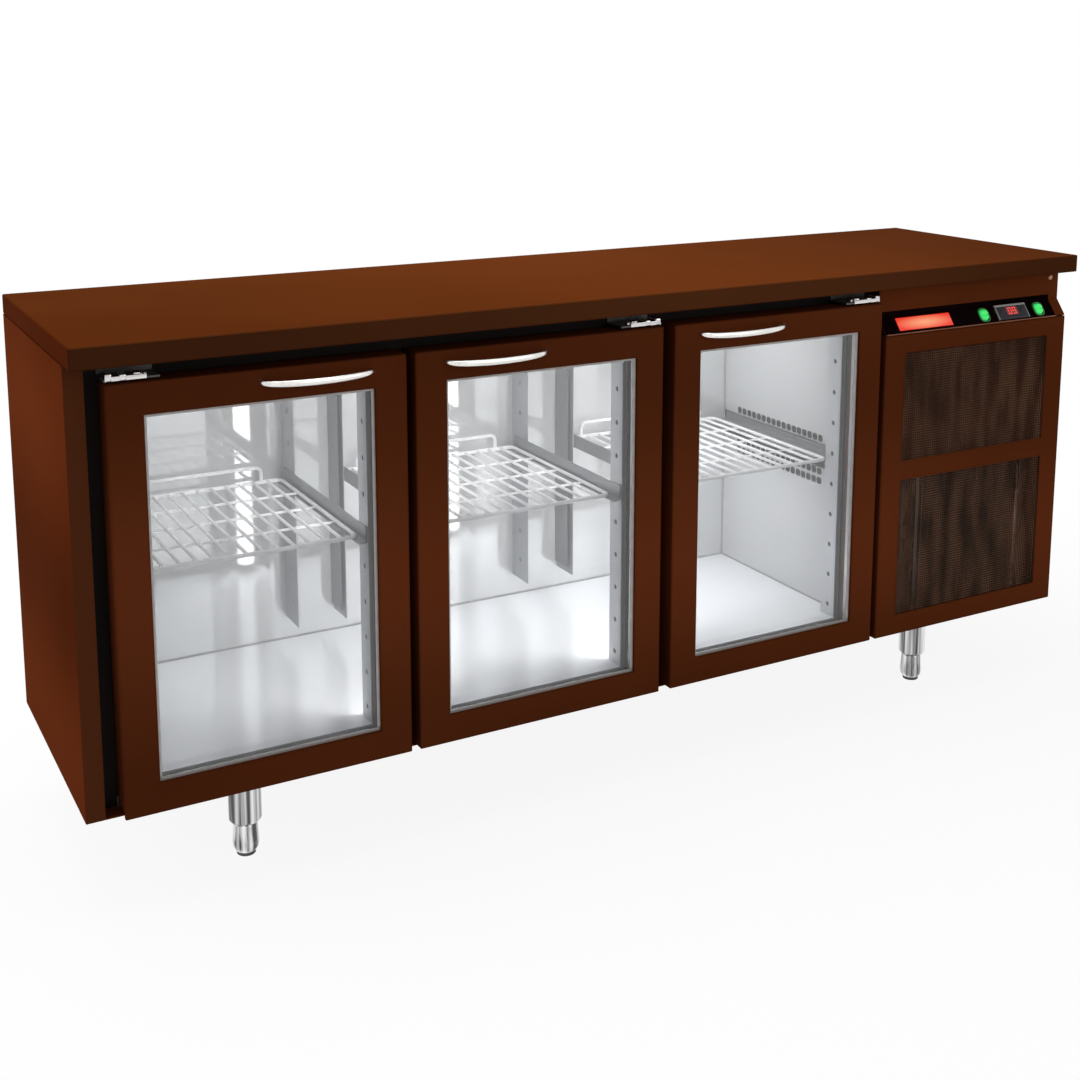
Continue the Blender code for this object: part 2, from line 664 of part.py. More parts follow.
def make_door_frame(number):
    """Painted frame, open for the glass, with a pocket behind the lip and room for both hinges."""
    left = DOOR_LEFTS[number - 1]
    right = left + DOOR_WIDTH
    name = f"door_{number}_frame"
    frame = block(name, at(left, DOOR_SETBACK, DOOR_LIFT), at(right, DOOR_BACK, DOOR_TOP), BROWN)
    soften(frame, DOOR_EDGE_ROUND)
    sill, head = DOOR_LIFT + BOTTOM_RAIL, DOOR_TOP - TOP_RAIL
    window = block(f"{name}_window", at(left + STILE, 0, sill), at(right - STILE, 2 * DOOR_BACK, head))
    side = STILE - GLASS_BITE
    pocket = block(f"{name}_pocket", at(left + side, DOOR_SETBACK + GLASS_LIP, sill - GLASS_BITE),
                   at(right - side, 2 * DOOR_BACK, head + GLASS_BITE))
    pin, edge, inward = pivot_place(number)
    notch_end = pin + inward * (hypot(ARM_HALF_WIDTH, ARM_HALF_WIDTH) + ARM_CLEARANCE)
    notch = span(f"{name}_notch", edge - inward * PIVOT_INSET, notch_end,
                 (DOOR_SETBACK + GLASS_LIP, 2 * DOOR_BACK),
                 (DOOR_LIFT - NOTCH_HEIGHT, DOOR_LIFT + NOTCH_HEIGHT))
    bite = PIN_BITE + ARM_CLEARANCE
    low_bore = rod(f"{name}_low_bore", at(pin, PIVOT_SETBACK, DOOR_LIFT),
                   at(pin, PIVOT_SETBACK, DOOR_LIFT + NOTCH_HEIGHT + bite), PIN_RADIUS + GAP)
    top_bore = rod(f"{name}_top_bore", at(pin, PIVOT_SETBACK, DOOR_TOP - bite),
                   at(pin, PIVOT_SETBACK, DOOR_TOP + bite), PIN_RADIUS + GAP)
    return cut(frame, window, pocket, notch, low_bore, top_bore)


def make_glass(number):
    """Sealed glass unit in the frame's pocket."""
    left = DOOR_LEFTS[number - 1]
    edge = STILE - GLASS_BITE + GAP
    front = DOOR_SETBACK + GLASS_LIP + GAP
    low = DOOR_LIFT + BOTTOM_RAIL - GLASS_BITE + GAP
    high = DOOR_TOP - TOP_RAIL + GLASS_BITE - GAP
    return block(f"door_{number}_glass", at(left + edge, front, low),
                 at(left + DOOR_WIDTH - edge, front + GLASS_THICKNESS, high), GLASS)


def make_gasket(number):
    """Soft seal round the back of the door."""
    left = DOOR_LEFTS[number - 1]
    right = left + DOOR_WIDTH
    outer, inner = GASKET_INSET, GASKET_INSET + GASKET_WIDTH
    ring = block(f"door_{number}_gasket", at(left + outer, DOOR_BACK + GAP, DOOR_LIFT + outer),
                 at(right - outer, FRAME_FACE - GAP, DOOR_TOP - outer), RUBBER)
    room = block(f"gasket_room_{number}", at(left + inner, DOOR_SETBACK, DOOR_LIFT + inner),
                 at(right - inner, 2 * DOOR_BACK, DOOR_TOP - inner))
    return cut(ring, room)


def make_handle(number):
    """Bow handle near the free edge of the top rail."""
    pin, edge, inward = pivot_place(number)
    free = edge + inward * DOOR_WIDTH
    middle = free - inward * (HANDLE_INSET + HANDLE_LENGTH / 2)
    rise = HANDLE_PROJECTION - HANDLE_RADIUS - HANDLE_STUB - GAP
    reach = HANDLE_LENGTH / 2 - HANDLE_RADIUS
    path = [(-reach, GAP)]
    for i in range(HANDLE_POINTS):
        angle = pi * i / (HANDLE_POINTS - 1)
        path.append((-reach * cos(angle), GAP + HANDLE_STUB + rise * abs(sin(angle)) ** HANDLE_FULLNESS))
    path.append((reach, GAP))
    curve = bpy.data.curves.new(f"door_{number}_handle", "CURVE")
    curve.dimensions = "3D"
    curve.bevel_depth = HANDLE_RADIUS
    curve.bevel_resolution = 2
    curve.use_fill_caps = True
    line = curve.splines.new("POLY")
    line.points.add(len(path) - 1)
    for point, (along, proud) in zip(line.points, path):
        point.co = (*at(middle + along, DOOR_SETBACK - proud, DOOR_TOP - HANDLE_DROP), 1.0)
    return add(f"door_{number}_handle", curve, CHROME)


def make_top_hinge(number):
    """Chrome bracket on the face frame, reaching over the door, with a pin down into it."""
    pin, edge, inward = pivot_place(number)
    name = f"top_hinge_{number}"
    end = edge + inward * TOP_HINGE_LENGTH
    nose = PIVOT_SETBACK - HINGE_NOSE
    back = FRAME_FACE - GAP
    low = DOOR_TOP + HINGE_LIFT
    plate = span(name, edge, end, (nose, back), (low, low + HINGE_PLATE), CHROME)
    lip = span(f"{name}_lip", edge, end, (nose, nose + HINGE_LIP),
               (low + HINGE_PLATE / 2, low + HINGE_PLATE + HINGE_LIP_HEIGHT))
    leaf = span(f"{name}_leaf", edge, end, (back - HINGE_LEAF, back),
                (low + HINGE_PLATE / 2, BODY_HEIGHT - HINGE_LEAF))
    peg = rod(f"{name}_pin", at(pin, PIVOT_SETBACK, DOOR_TOP - PIN_BITE),
              at(pin, PIVOT_SETBACK, low + HINGE_PLATE / 2), PIN_RADIUS)
    return join(plate, lip, leaf, peg)


def make_bottom_hinge(number):
    """Bracket on the face frame, in the door's notch, with a pin up into the door."""
    pin, edge, inward = pivot_place(number)
    name = f"bottom_hinge_{number}"
    back = FRAME_FACE - GAP
    low = DOOR_LIFT + ARM_CLEARANCE
    arm = span(name, pin - ARM_HALF_WIDTH, pin + ARM_HALF_WIDTH, (PIVOT_SETBACK - ARM_HALF_WIDTH, back),
               (low, low + HINGE_PLATE), CHROME)
    leaf = span(f"{name}_leaf", pin - 2 * ARM_HALF_WIDTH, pin + 2 * ARM_HALF_WIDTH,
                (back - HINGE_LEAF, back), (BASE_TOP + GAP, DOOR_LIFT + GASKET_INSET - ARM_CLEARANCE))
    peg = rod(f"{name}_pin", at(pin, PIVOT_SETBACK, low + HINGE_PLATE / 2),
              at(pin, PIVOT_SETBACK, DOOR_LIFT + NOTCH_HEIGHT + PIN_BITE), PIN_RADIUS)
    return join(arm, leaf, peg)


def make_doors():
    for number in range(1, len(DOOR_LEFTS) + 1):
        make_top_hinge(number)
        make_bottom_hinge(number)
        holder = pivot(f"door_{number}_pivot", at(pivot_place(number)[0], PIVOT_SETBACK, DOOR_LIFT))
        carry(holder, make_door_frame(number), make_glass(number), make_gasket(number), make_handle(number))


def make_grille():
    """Front tray of the cooling unit with two windows, and the mesh behind them."""
    tray = block("grille_panel", at(GRILLE_LEFT, DOOR_SETBACK, DOOR_LIFT),
                 at(LENGTH, GRILLE_BACK, GRILLE_TOP), BROWN)
    soften(tray, DOOR_EDGE_ROUND)
    inside = DOOR_SETBACK + GRILLE_SHEET
    hollow = block("grille_hollow", at(GRILLE_LEFT + GRILLE_SHEET, inside, DOOR_LIFT + GRILLE_SHEET),
                   at(LENGTH - GRILLE_SHEET, 2 * GRILLE_BACK, GRILLE_TOP + GRILLE_STILE))
    lower = (DOOR_LIFT + GRILLE_BOTTOM_RAIL, DOOR_LIFT + GRILLE_BOTTOM_RAIL + LOWER_WINDOW)
    upper = (lower[1] + MIDDLE_RAIL, lower[1] + MIDDLE_RAIL + UPPER_WINDOW)
    sides = (GRILLE_LEFT + GRILLE_STILE, LENGTH - GRILLE_STILE)
    cut(tray, hollow)
    for place, window in (("lower", lower), ("upper", upper)):
        cut(tray, block(f"{place}_window", at(sides[0], 0, window[0]),
                        at(sides[1], CASING_SETBACK, window[1])))
    columns = breaks(sides[0] - MESH_MARGIN, sides[1] + MESH_MARGIN, spread(*sides, MESH_COLUMNS, MESH_BAR))
    rows = breaks(lower[0] - MESH_MARGIN, upper[1] + MESH_MARGIN,
                  spread(*lower, MESH_LOWER_ROWS, MESH_BAR) + spread(*upper, MESH_UPPER_ROWS, MESH_BAR))
    lattice("grille_mesh", columns, rows, lambda x, z: at(x, inside + GAP, z), MESH_SHEET, MESH_METAL)


def slope_point(across, along, out=0.0):
    """A point on the control panel's sloping face, along it from its foot, and out from it."""
    return at(across, SLOPE_FOOT[0] + along * sin(SLOPE_LEAN) - out * cos(SLOPE_LEAN),
              SLOPE_FOOT[1] + along * cos(SLOPE_LEAN) + out * sin(SLOPE_LEAN))


def panel_point(across, along):
    if along <= SLOPE_LENGTH:
        return slope_point(across, along)
    return at(across, FASCIA_FACE, FASCIA_BOTTOM + along - SLOPE_LENGTH)


def slope_frame(from_right):
    """Axes on the sloping face: X along the counter, Y up the slope, Z out of it."""
    place = slope_point(LENGTH - from_right, SLOPE_LENGTH / 2)
    return Matrix.Translation(place) @ Matrix.Rotation(pi / 2 - SLOPE_LEAN, 4, "X")


def make_control_panel():
    """Folded sheet with cutouts for the two switches and the thermostat."""
    cutouts = []
    for from_right, width in ((POWER_SWITCH_AT, SWITCH_WIDTH), (THERMOSTAT_AT, THERMOSTAT_CUTOUT),
                              (LIGHT_SWITCH_AT, SWITCH_WIDTH)):
        middle = LENGTH - from_right
        cutouts.append((middle - width / 2, middle + width / 2))
    columns = breaks(GRILLE_LEFT, LENGTH, cutouts)
    edge = (SLOPE_LENGTH - CUTOUT_HEIGHT) / 2
    rows = [0, edge, edge + CUTOUT_HEIGHT, SLOPE_LENGTH, SLOPE_LENGTH + CASING_TOP - FASCIA_BOTTOM]
    opened = {(1, 1), (3, 1), (5, 1)}
    sheet("control_panel", columns, rows, opened, panel_point, CONTROL_SHEET, BROWN)


def make_switch(name, from_right):
    """Rocker between the sides of its cutout, resting with its lower end pressed in."""
    half = CUTOUT_HEIGHT / 2 - ROCKER_CLEARANCE
    outline = [(-half, ROCKER_END_RISE), (-half, -ROCKER_DEPTH), (half, -ROCKER_DEPTH),
               (half, ROCKER_END_RISE), (0, ROCKER_VALLEY)]
    curve = bpy.data.curves.new(name, "CURVE")
    curve.dimensions = "2D"
    curve.fill_mode = "BOTH"
    curve.extrude = SWITCH_WIDTH / 2 - GAP
    line = curve.splines.new("POLY")
    line.points.add(len(outline) - 1)
    for point, (along, out) in zip(line.points, outline):
        point.co = (along, out, 0, 1)
    line.use_cyclic_u = True
    rocker = add(name, curve, GREEN_PLASTIC)
    upright = Matrix(((0, 0, 1, 0), (1, 0, 0, 0), (0, 1, 0, 0), (0, 0, 0, 1)))
    rocker.matrix_world = slope_frame(from_right) @ Matrix.Rotation(SWITCH_TILT, 4, "X") @ upright
    return rocker


def make_thermostat():
    """Bezel on the sloping face, and a body through its cutout."""
    width, height, thickness = THERMOSTAT_BEZEL
    bezel = block("thermostat", Vector((-width / 2, -height / 2, GAP)),
                  Vector((width / 2, height / 2, GAP + thickness)), BLACK_PLASTIC)
    reach = Vector((THERMOSTAT_CUTOUT / 2 - GAP, CUTOUT_HEIGHT / 2 - GAP, 0))
    body = block("thermostat_body", -reach - Vector((0, 0, THERMOSTAT_BODY_DEPTH)),
                 reach + Vector((0, 0, thickness / 2)))
    bezel.matrix_world = slope_frame(THERMOSTAT_AT)
    body.matrix_world = slope_frame(THERMOSTAT_AT)
    join(bezel, body)


def make_condenser():
    """Finned block with a fan shroud behind it, and the fan's motor on a strap across the shroud."""
    width, depth, height = CONDENSER_SIZE
    left, right = UNIT_MIDDLE - width / 2, UNIT_MIDDLE + width / 2
    back = CONDENSER_SETBACK + depth
    rear = back + SHROUD_DEPTH
    foot, head = BASE_TOP, BASE_TOP + height
    unit = block("condenser", at(left, CONDENSER_SETBACK, foot), at(right, rear, head), FIN_METAL)
    room = block("shroud_room", at(left + SHROUD_SHEET, back, foot + SHROUD_SHEET),
                 at(right - SHROUD_SHEET, rear - SHROUD_SHEET, head - SHROUD_SHEET))
    ring = rod("shroud_ring", at(UNIT_MIDDLE, back + SHROUD_SHEET, HOT_FAN_LEVEL),
               at(UNIT_MIDDLE, rear + SHROUD_SHEET, HOT_FAN_LEVEL),
               HOT_FAN_RADIUS + HOT_FAN_CLEARANCE, CAN_STEPS)
    cut(unit, room, ring)
    step = width / CONDENSER_FINS
    for i in range(CONDENSER_FINS):
        start = left + step * (i + 0.5) - FIN_SLOT / 2
        cut(unit, block(f"condenser_groove_{i}", at(start, 0, foot + FIN_SLOT),
                        at(start + FIN_SLOT, CONDENSER_SETBACK + FIN_SLOT_DEPTH, head - FIN_SLOT)))
    strap = block("motor_strap", at(left, rear - SHROUD_SHEET / 2, HOT_FAN_LEVEL - MOTOR_STRAP / 2),
                  at(right, rear + STRAP_SHEET, HOT_FAN_LEVEL + MOTOR_STRAP / 2))
    motor = rod("hot_motor", at(UNIT_MIDDLE, rear + STRAP_SHEET / 2, HOT_FAN_LEVEL),
                at(UNIT_MIDDLE, rear + STRAP_SHEET + HOT_MOTOR_LENGTH, HOT_FAN_LEVEL),
                HOT_MOTOR_RADIUS, TURN_STEPS)
    nose = rear - SHROUD_SHEET / 2 - GAP - HUB_LENGTH / 2
    shaft = rod("hot_shaft", at(UNIT_MIDDLE, nose, HOT_FAN_LEVEL),
                at(UNIT_MIDDLE, rear + STRAP_SHEET, HOT_FAN_LEVEL), SHAFT_RADIUS)
    join(unit, strap, motor, shaft)
    fan("condenser_fan", at(UNIT_MIDDLE, nose, HOT_FAN_LEVEL), Vector((0, -1, 0)), HOT_FAN_RADIUS,
        BLACK_PLASTIC)


def make_compressor():
    """Hermetic can on its foot plate."""
    width, depth, plate = COMPRESSOR_PLATE
    middle = at(UNIT_MIDDLE, DEPTH - COMPRESSOR_BACK, BASE_TOP)
    radius, height = COMPRESSOR_RADIUS, COMPRESSOR_HEIGHT
    profile = [(0, height)]
    for i in range(1, DOME_STEPS + 1):
        angle = pi / 2 * i / DOME_STEPS
        profile.append((radius * sin(angle), height - CAN_DOME * (1 - cos(angle))))
    profile += [(radius, CAN_BELLY), CAN_TUCK, (CAN_FOOT_RADIUS, plate / 2), (0, plate / 2)]
    can = turned("compressor", middle, profile, CAN_STEPS, CAN_PAINT)
    base = block("compressor_plate", middle - Vector((width / 2, depth / 2, 0)),
                 middle + Vector((width / 2, depth / 2, plate)))
    join(can, base)


def make_legs():
    """Four legs with screw feet. At rest each foot is turned fully in."""
    leg_profile = [(0, -GAP), (LEG_FLANGE_RADIUS, -GAP), (LEG_FLANGE_RADIUS, -LEG_FLANGE),
                   (LEG_RADIUS, -LEG_FLANGE), (LEG_RADIUS, LEG_CHAMFER[1] - LEG_TUBE),
                   (LEG_RADIUS - LEG_CHAMFER[0], -LEG_TUBE),
                   (FOOT_STEM_RADIUS + GAP, -LEG_TUBE), (FOOT_STEM_RADIUS + GAP, LEG_BORE_DEPTH - LEG_TUBE),
                   (0, LEG_BORE_DEPTH - LEG_TUBE)]
    shoulder = -LEG_TUBE - GAP
    foot_profile = [(0, shoulder + FOOT_STEM), (FOOT_STEM_RADIUS, shoulder + FOOT_STEM),
                    (FOOT_STEM_RADIUS, shoulder), (FOOT_NECK_RADIUS, shoulder),
                    (FOOT_RADIUS, FOOT_TAPER - LEG_HEIGHT), (FOOT_TOE_RADIUS, -LEG_HEIGHT),
                    (0, -LEG_HEIGHT)]
    corners = {"front_left": (LEG_INSET, LEG_SETBACK), "front_right": (LENGTH - LEG_INSET, LEG_SETBACK),
               "rear_left": (LEG_INSET, DEPTH - LEG_SETBACK),
               "rear_right": (LENGTH - LEG_INSET, DEPTH - LEG_SETBACK)}
    for name, (across, setback) in corners.items():
        turned(f"leg_{name}", at(across, setback, 0), leg_profile, TURN_STEPS, CHROME)
        turned(f"foot_{name}", at(across, setback, 0), foot_profile, TURN_STEPS, CHROME)


make_casing()
make_gland()
make_liner()
make_face_frame()
make_racks()
make_shelves()
make_lamps()
make_evaporator()
make_doors()
make_grille()
make_control_panel()
make_switch("power_switch", POWER_SWITCH_AT)
make_switch("light_switch", LIGHT_SWITCH_AT)
make_thermostat()
make_condenser()
make_compressor()
make_legs()
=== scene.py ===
# %% [markdown]
# # A refrigerated bar counter, dressed piece by piece
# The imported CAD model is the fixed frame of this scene. Each step below looks at one piece or finish of
# the real counter, says how it could be made, and makes it as arrays of points worked out with numpy.
# Lengths are in metres; the doors face -Y, the cooling unit is at the +X end, and the floor is at z = 0.

import json
from math import radians

import bmesh
import bpy
import numpy as np
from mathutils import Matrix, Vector


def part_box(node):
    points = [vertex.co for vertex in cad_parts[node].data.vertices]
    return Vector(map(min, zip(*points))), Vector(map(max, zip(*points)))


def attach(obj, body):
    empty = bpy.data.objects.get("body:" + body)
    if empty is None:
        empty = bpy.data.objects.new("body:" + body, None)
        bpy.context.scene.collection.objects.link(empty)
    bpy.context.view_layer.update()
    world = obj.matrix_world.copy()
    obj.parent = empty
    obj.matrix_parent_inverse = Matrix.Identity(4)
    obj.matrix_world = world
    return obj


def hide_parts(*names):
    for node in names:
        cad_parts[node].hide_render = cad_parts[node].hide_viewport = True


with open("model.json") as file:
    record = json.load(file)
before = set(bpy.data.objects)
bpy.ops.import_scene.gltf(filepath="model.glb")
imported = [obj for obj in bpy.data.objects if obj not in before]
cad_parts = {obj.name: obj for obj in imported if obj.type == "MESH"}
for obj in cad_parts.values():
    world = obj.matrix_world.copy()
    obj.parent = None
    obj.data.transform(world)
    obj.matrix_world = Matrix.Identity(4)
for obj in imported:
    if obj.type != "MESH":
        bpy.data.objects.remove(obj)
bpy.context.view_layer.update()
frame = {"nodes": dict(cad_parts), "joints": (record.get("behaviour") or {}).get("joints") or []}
CABINET = "cabinet"
CRISP = 8.0
FLAT = 0.0
DOORS = ("door_1", "door_2", "door_3")
JOINTS = {joint["name"]: joint for joint in frame["joints"]}


# %% [markdown]
# ## Shapes as arrays
# A mesh is only points and the faces between them. A surface is a grid of points, so its faces follow from
# the row and column numbers alone. Every helper returns points and faces, which lets small shapes be
# gathered into one piece before Blender sees them.

# %% Points and faces
def span(node):
    """Lowest and highest corner of a CAD node, as arrays."""
    low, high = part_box(node)
    return np.array(low), np.array(high)


def grid_faces(rows, columns, close_rows=False, close_columns=False):
    """Quads between neighbouring points of a grid that is stored row by row."""
    row, column = np.meshgrid(np.arange(rows if close_rows else rows - 1),
                              np.arange(columns if close_columns else columns - 1), indexing="ij")
    below, beside = (row + 1) % rows, (column + 1) % columns
    corners = (row * columns + column, row * columns + beside,
               below * columns + beside, below * columns + column)
    return np.stack(corners, -1).reshape(-1, 4).tolist()


def gather(*shapes):
    """Several shapes as one: the points follow each other and the face numbers move on."""
    points = [np.reshape(shape[0], (-1, 3)) for shape in shapes]
    starts = np.cumsum([0] + [len(part) for part in points])
    faces = [[corner + int(start) for corner in face]
             for start, shape in zip(starts, shapes) for face in shape[1]]
    return np.concatenate(points), faces


print("a grid of 3 by 4 points has", len(grid_faces(3, 4)), "faces")


# %% [markdown]
# ## From a shape to a piece
# Blender's own operators could build each piece, but then every piece is made in another way. One helper
# takes any points and faces instead: it merges doubled points, turns closed shells outwards, and hands the
# object to the CAD body that carries it.

# %% A piece on a body
MERGE_REACH = 1e-6
SLIVER = 1e-7
SMOOTH_UNDER = 35.0


def put(name, shape, material, body=CABINET, slot="stainless", stands_for=(), sharp=SMOOTH_UNDER, wall=0.0):
    """Make a shape an object on a body. Doubled points are merged and closed shells turned outwards.
    Edges sharper than the angle sharp stay crisp, and at FLAT every face does."""
    points, faces = shape
    mesh = bpy.data.meshes.new(name)
    mesh.from_pydata(np.reshape(points, (-1, 3)).tolist(), [], faces)
    clean = bmesh.new()
    clean.from_mesh(mesh)
    bmesh.ops.remove_doubles(clean, verts=clean.verts, dist=MERGE_REACH)
    bmesh.ops.dissolve_degenerate(clean, edges=clean.edges, dist=SLIVER)
    bmesh.ops.recalc_face_normals(clean, faces=clean.faces)
    clean.to_mesh(mesh)
    clean.free()
    if sharp != FLAT:
        mesh.shade_smooth()
        mesh.set_sharp_from_angle(angle=radians(sharp))
    mesh.materials.append(material)
    piece = bpy.data.objects.new(name, mesh)
    bpy.context.scene.collection.objects.link(piece)
    if wall:
        solid = piece.modifiers.new("wall", "SOLIDIFY")
        solid.thickness = wall
        solid.offset = 0.0
    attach(piece, body)
    if stands_for:
        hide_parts(*stands_for)
    print(f"{name}: {len(mesh.polygons)} faces on {body}")


# %% [markdown]
# ## Finishes
# Real paint and sheet metal are never one flat value: enamel has a faint orange peel and cloudy gloss, and
# polished sheet has drawing lines. Two node groups hold those effects, and each finish places a group with
# its own values. What stays the same all over a surface is set on the shader itself. Nodes can be wired up
# line by line; a helper that makes a node and feeds its sockets keeps each tree short enough to read.

# %% Nodes and what feeds them
def feed(tree, value, socket):
    """Link an output to a socket, or set the socket to a plain value."""
    if isinstance(value, bpy.types.NodeSocket):
        tree.links.new(value, socket)
    else:
        socket.default_value = value


def add(tree, kind, settings=None, given=(), **named):
    """A node with its settings; its inputs are fed by place, or by name with spaces as underscores."""
    node = tree.nodes.new(f"ShaderNode{kind}")
    for label, value in (settings or {}).items():
        setattr(node, label, value)
    for place, value in [*enumerate(given), *named.items()]:
        key = place.replace("_", " ") if isinstance(place, str) else place
        feed(tree, value, node.inputs[key])
    return node


def maths(tree, operation, *values):
    """The result of a Math node on one or two values."""
    return add(tree, "Math", {"operation": operation}, values).outputs["Value"]


def noise(tree, vector, scale, detail):
    """A noise texture on a vector, at a fixed scale."""
    return add(tree, "TexNoise", Vector=vector, Scale=scale, Detail=detail).outputs["Fac"]


def ranged(tree, value, low, high, to_low=0.0, to_high=1.0):
    """A value carried from one range to another, and held at its ends."""
    return add(tree, "MapRange", Value=value, From_Min=low, From_Max=high, To_Min=to_low,
               To_Max=to_high).outputs["Result"]


def colour_mix(tree, factor, first, second, blend="MIX"):
    """The first colour where the factor is nought, and blended with the second where it is one."""
    settings = {"data_type": "RGBA", "blend_type": blend}
    return add(tree, "Mix", settings, Factor=factor, A=first, B=second).outputs["Result"]


def place_on(tree):
    """Object coordinates, which stay with the piece."""
    return add(tree, "TexCoord").outputs["Object"]


def shader_of(material):
    """A finish's node tree and its Principled shader's inputs."""
    return material.node_tree, material.node_tree.nodes["Principled BSDF"].inputs


print("nodes are made for", bpy.app.version_string)


# %% [markdown]
# ## The enamel group
# Sprayed paint has a fine peel and a tone that drifts at random. Soft bands across it are painted bands of
# light and shade, and a deeper tone along its edges is a painted shade. A picture of it would repeat and
# needs a layout on every piece. Waves, a wide noise and the Bevel node give the same from Object coordinates
# alone.

# %% Clouds of enamel
EDGE_REACH = 0.006
EDGE_SHADE = 0.62
EDGE_AGREES = 0.72
EDGE_SAMPLES = 4
CLOUD_SHARE = 0.22
CLOUD_NOISE = (2.4, 2.0)
CLOUD_RANGE = (0.34, 0.66)
PEEL_NOISE = (420.0, 1.0)
WAVE = {"Scale": 1.0, "Distortion": 0.8, "Detail": 1.0, "Detail_Scale": 1.0}
VALUE, VECTOR, COLOUR = "NodeSocketFloat", "NodeSocketVector", "NodeSocketColor"


def new_group(name, **inputs):
    """A shader group with named inputs, and outputs for colour, roughness and height."""
    group = bpy.data.node_groups.new(name, "ShaderNodeTree")
    for label, kind in inputs.items():
        group.interface.new_socket(label.replace("_", " "), in_out="INPUT", socket_type=kind)
    for label, kind in (("Colour", COLOUR), ("Roughness", VALUE), ("Height", VALUE)):
        group.interface.new_socket(label, in_out="OUTPUT", socket_type=kind)
    return group, group.nodes.new("NodeGroupInput").outputs, group.nodes.new("NodeGroupOutput").inputs


def edge_mask(group, reach):
    """One along edges and nought on faces: how far a normal rounded over the edge leaves the face's own."""
    over = add(group, "Bevel", {"samples": EDGE_SAMPLES}, Radius=reach).outputs["Normal"]
    face = add(group, "NewGeometry").outputs["Normal"]
    agree = add(group, "VectorMath", {"operation": "DOT_PRODUCT"}, (over, face)).outputs["Value"]
    return ranged(group, agree, EDGE_AGREES, 1.0, 1.0, 0.0)


def enamel_group():
    """Painted bands of light and shade mixed with a wide noise, gloss from the noise, a painted shade along
    the edges, and a fine noise as the peel's height. Bands cross the direction of Stretch, 0.628 over its
    length apart."""
    group, given, made = new_group("enamel_clouds", Vector=VECTOR, Stretch=VECTOR, Phase=VALUE, Colour=COLOUR,
                                   Deep=COLOUR, Edge=VALUE, Gloss_low=VALUE, Gloss_high=VALUE)
    across = add(group, "VectorMath", {"operation": "MULTIPLY"}, (given["Vector"], given["Stretch"]))
    # The waves are painted bands of light and shade across the enamel.
    bands = add(group, "TexWave", {"bands_direction": "DIAGONAL"}, Vector=across.outputs["Vector"],
                Phase_Offset=given["Phase"], **WAVE)
    wide = noise(group, given["Vector"], *CLOUD_NOISE)
    depth = add(group, "Mix", Factor=CLOUD_SHARE, A=bands.outputs["Fac"], B=ranged(group, wide, *CLOUD_RANGE))
    clouds = colour_mix(group, depth.outputs["Result"], given["Colour"], given["Deep"])
    # The deeper tone along edges and corners is a painted shade.
    painted_edge_shade = add(group, "VectorMath", {"operation": "SCALE"}, (given["Deep"],), Scale=EDGE_SHADE)
    edge = maths(group, "MULTIPLY", edge_mask(group, EDGE_REACH), given["Edge"])
    feed(group, colour_mix(group, edge, clouds, painted_edge_shade.outputs["Vector"]), made["Colour"])
    feed(group, ranged(group, wide, 0.0, 1.0, given["Gloss low"], given["Gloss high"]), made["Roughness"])
    feed(group, noise(group, given["Vector"], *PEEL_NOISE), made["Height"])
    return group


ENAMEL = enamel_group()
print("enamel group:", len(ENAMEL.nodes), "nodes")


# %% [markdown]
# ## The drawn-metal group
# Rolled and brushed metal has long fine streaks. They could be an anisotropic shader, but that shows only in
# highlights. A noise with coordinates squeezed along the drawing direction gives the streaks a tone as well.

# %% Lines in drawn metal
STREAK_NOISE = (1.0, 4.0)
STREAK_RANGE = (0.38, 0.62)


def drawn_group():
    """Streaks from one noise: its middle range mixes two tones, its whole range the gloss, and it is the
    height too."""
    group, given, made = new_group("drawn_lines", Vector=VECTOR, Colour=COLOUR, Deep=COLOUR, Gloss_low=VALUE,
                                   Gloss_high=VALUE)
    lines = noise(group, given["Vector"], *STREAK_NOISE)
    streak = ranged(group, lines, *STREAK_RANGE)
    feed(group, colour_mix(group, streak, given["Colour"], given["Deep"]), made["Colour"])
    feed(group, ranged(group, lines, 0.0, 1.0, given["Gloss low"], given["Gloss high"]), made["Roughness"])
    feed(group, lines, made["Height"])
    return group


DRAWN = drawn_group()
print("drawn group:", len(DRAWN.nodes), "nodes")


# %% [markdown]
# ## A finish from a group
# A finish is a Principled shader with a group in front of it. One function could take every value, but paint
# and metal differ in what matters, so each has its own short maker.

# %% Makers of finishes
PEEL_BUMP = (0.05, 0.0004)
LINE_DEPTH = 0.0003


def plain(name, colour, roughness, metallic=0.0, **sockets):
    """A Principled finish; further sockets are given by name with spaces as underscores."""
    material = bpy.data.materials.new(name)
    material.use_nodes = True
    shader = material.node_tree.nodes["Principled BSDF"]
    shader.inputs["Base Color"].default_value = (*colour, 1.0)
    shader.inputs["Roughness"].default_value = roughness
    shader.inputs["Metallic"].default_value = metallic
    for label, value in sockets.items():
        shader.inputs[label.replace("_", " ")].default_value = value
    return material


def place_group(material, group, scale, bump, distance, **values):
    """Put a group into a finish on Object coordinates, with its height as a bump."""
    tree, shader = shader_of(material)
    mapped = add(tree, "Mapping", Vector=place_on(tree), Scale=scale).outputs["Vector"]
    made = add(tree, "Group", {"node_tree": group}, Vector=mapped, **values).outputs
    relief = add(tree, "Bump", Strength=bump, Distance=distance, Height=made["Height"])
    feed(tree, made["Colour"], shader["Base Color"])
    feed(tree, made["Roughness"], shader["Roughness"])
    feed(tree, relief.outputs["Normal"], shader["Normal"])
    return material


def shades(colour, deep):
    """A colour and its deeper shade, as a group takes them."""
    return {"Colour": (*colour, 1), "Deep": (*(channel * deep for channel in colour), 1)}


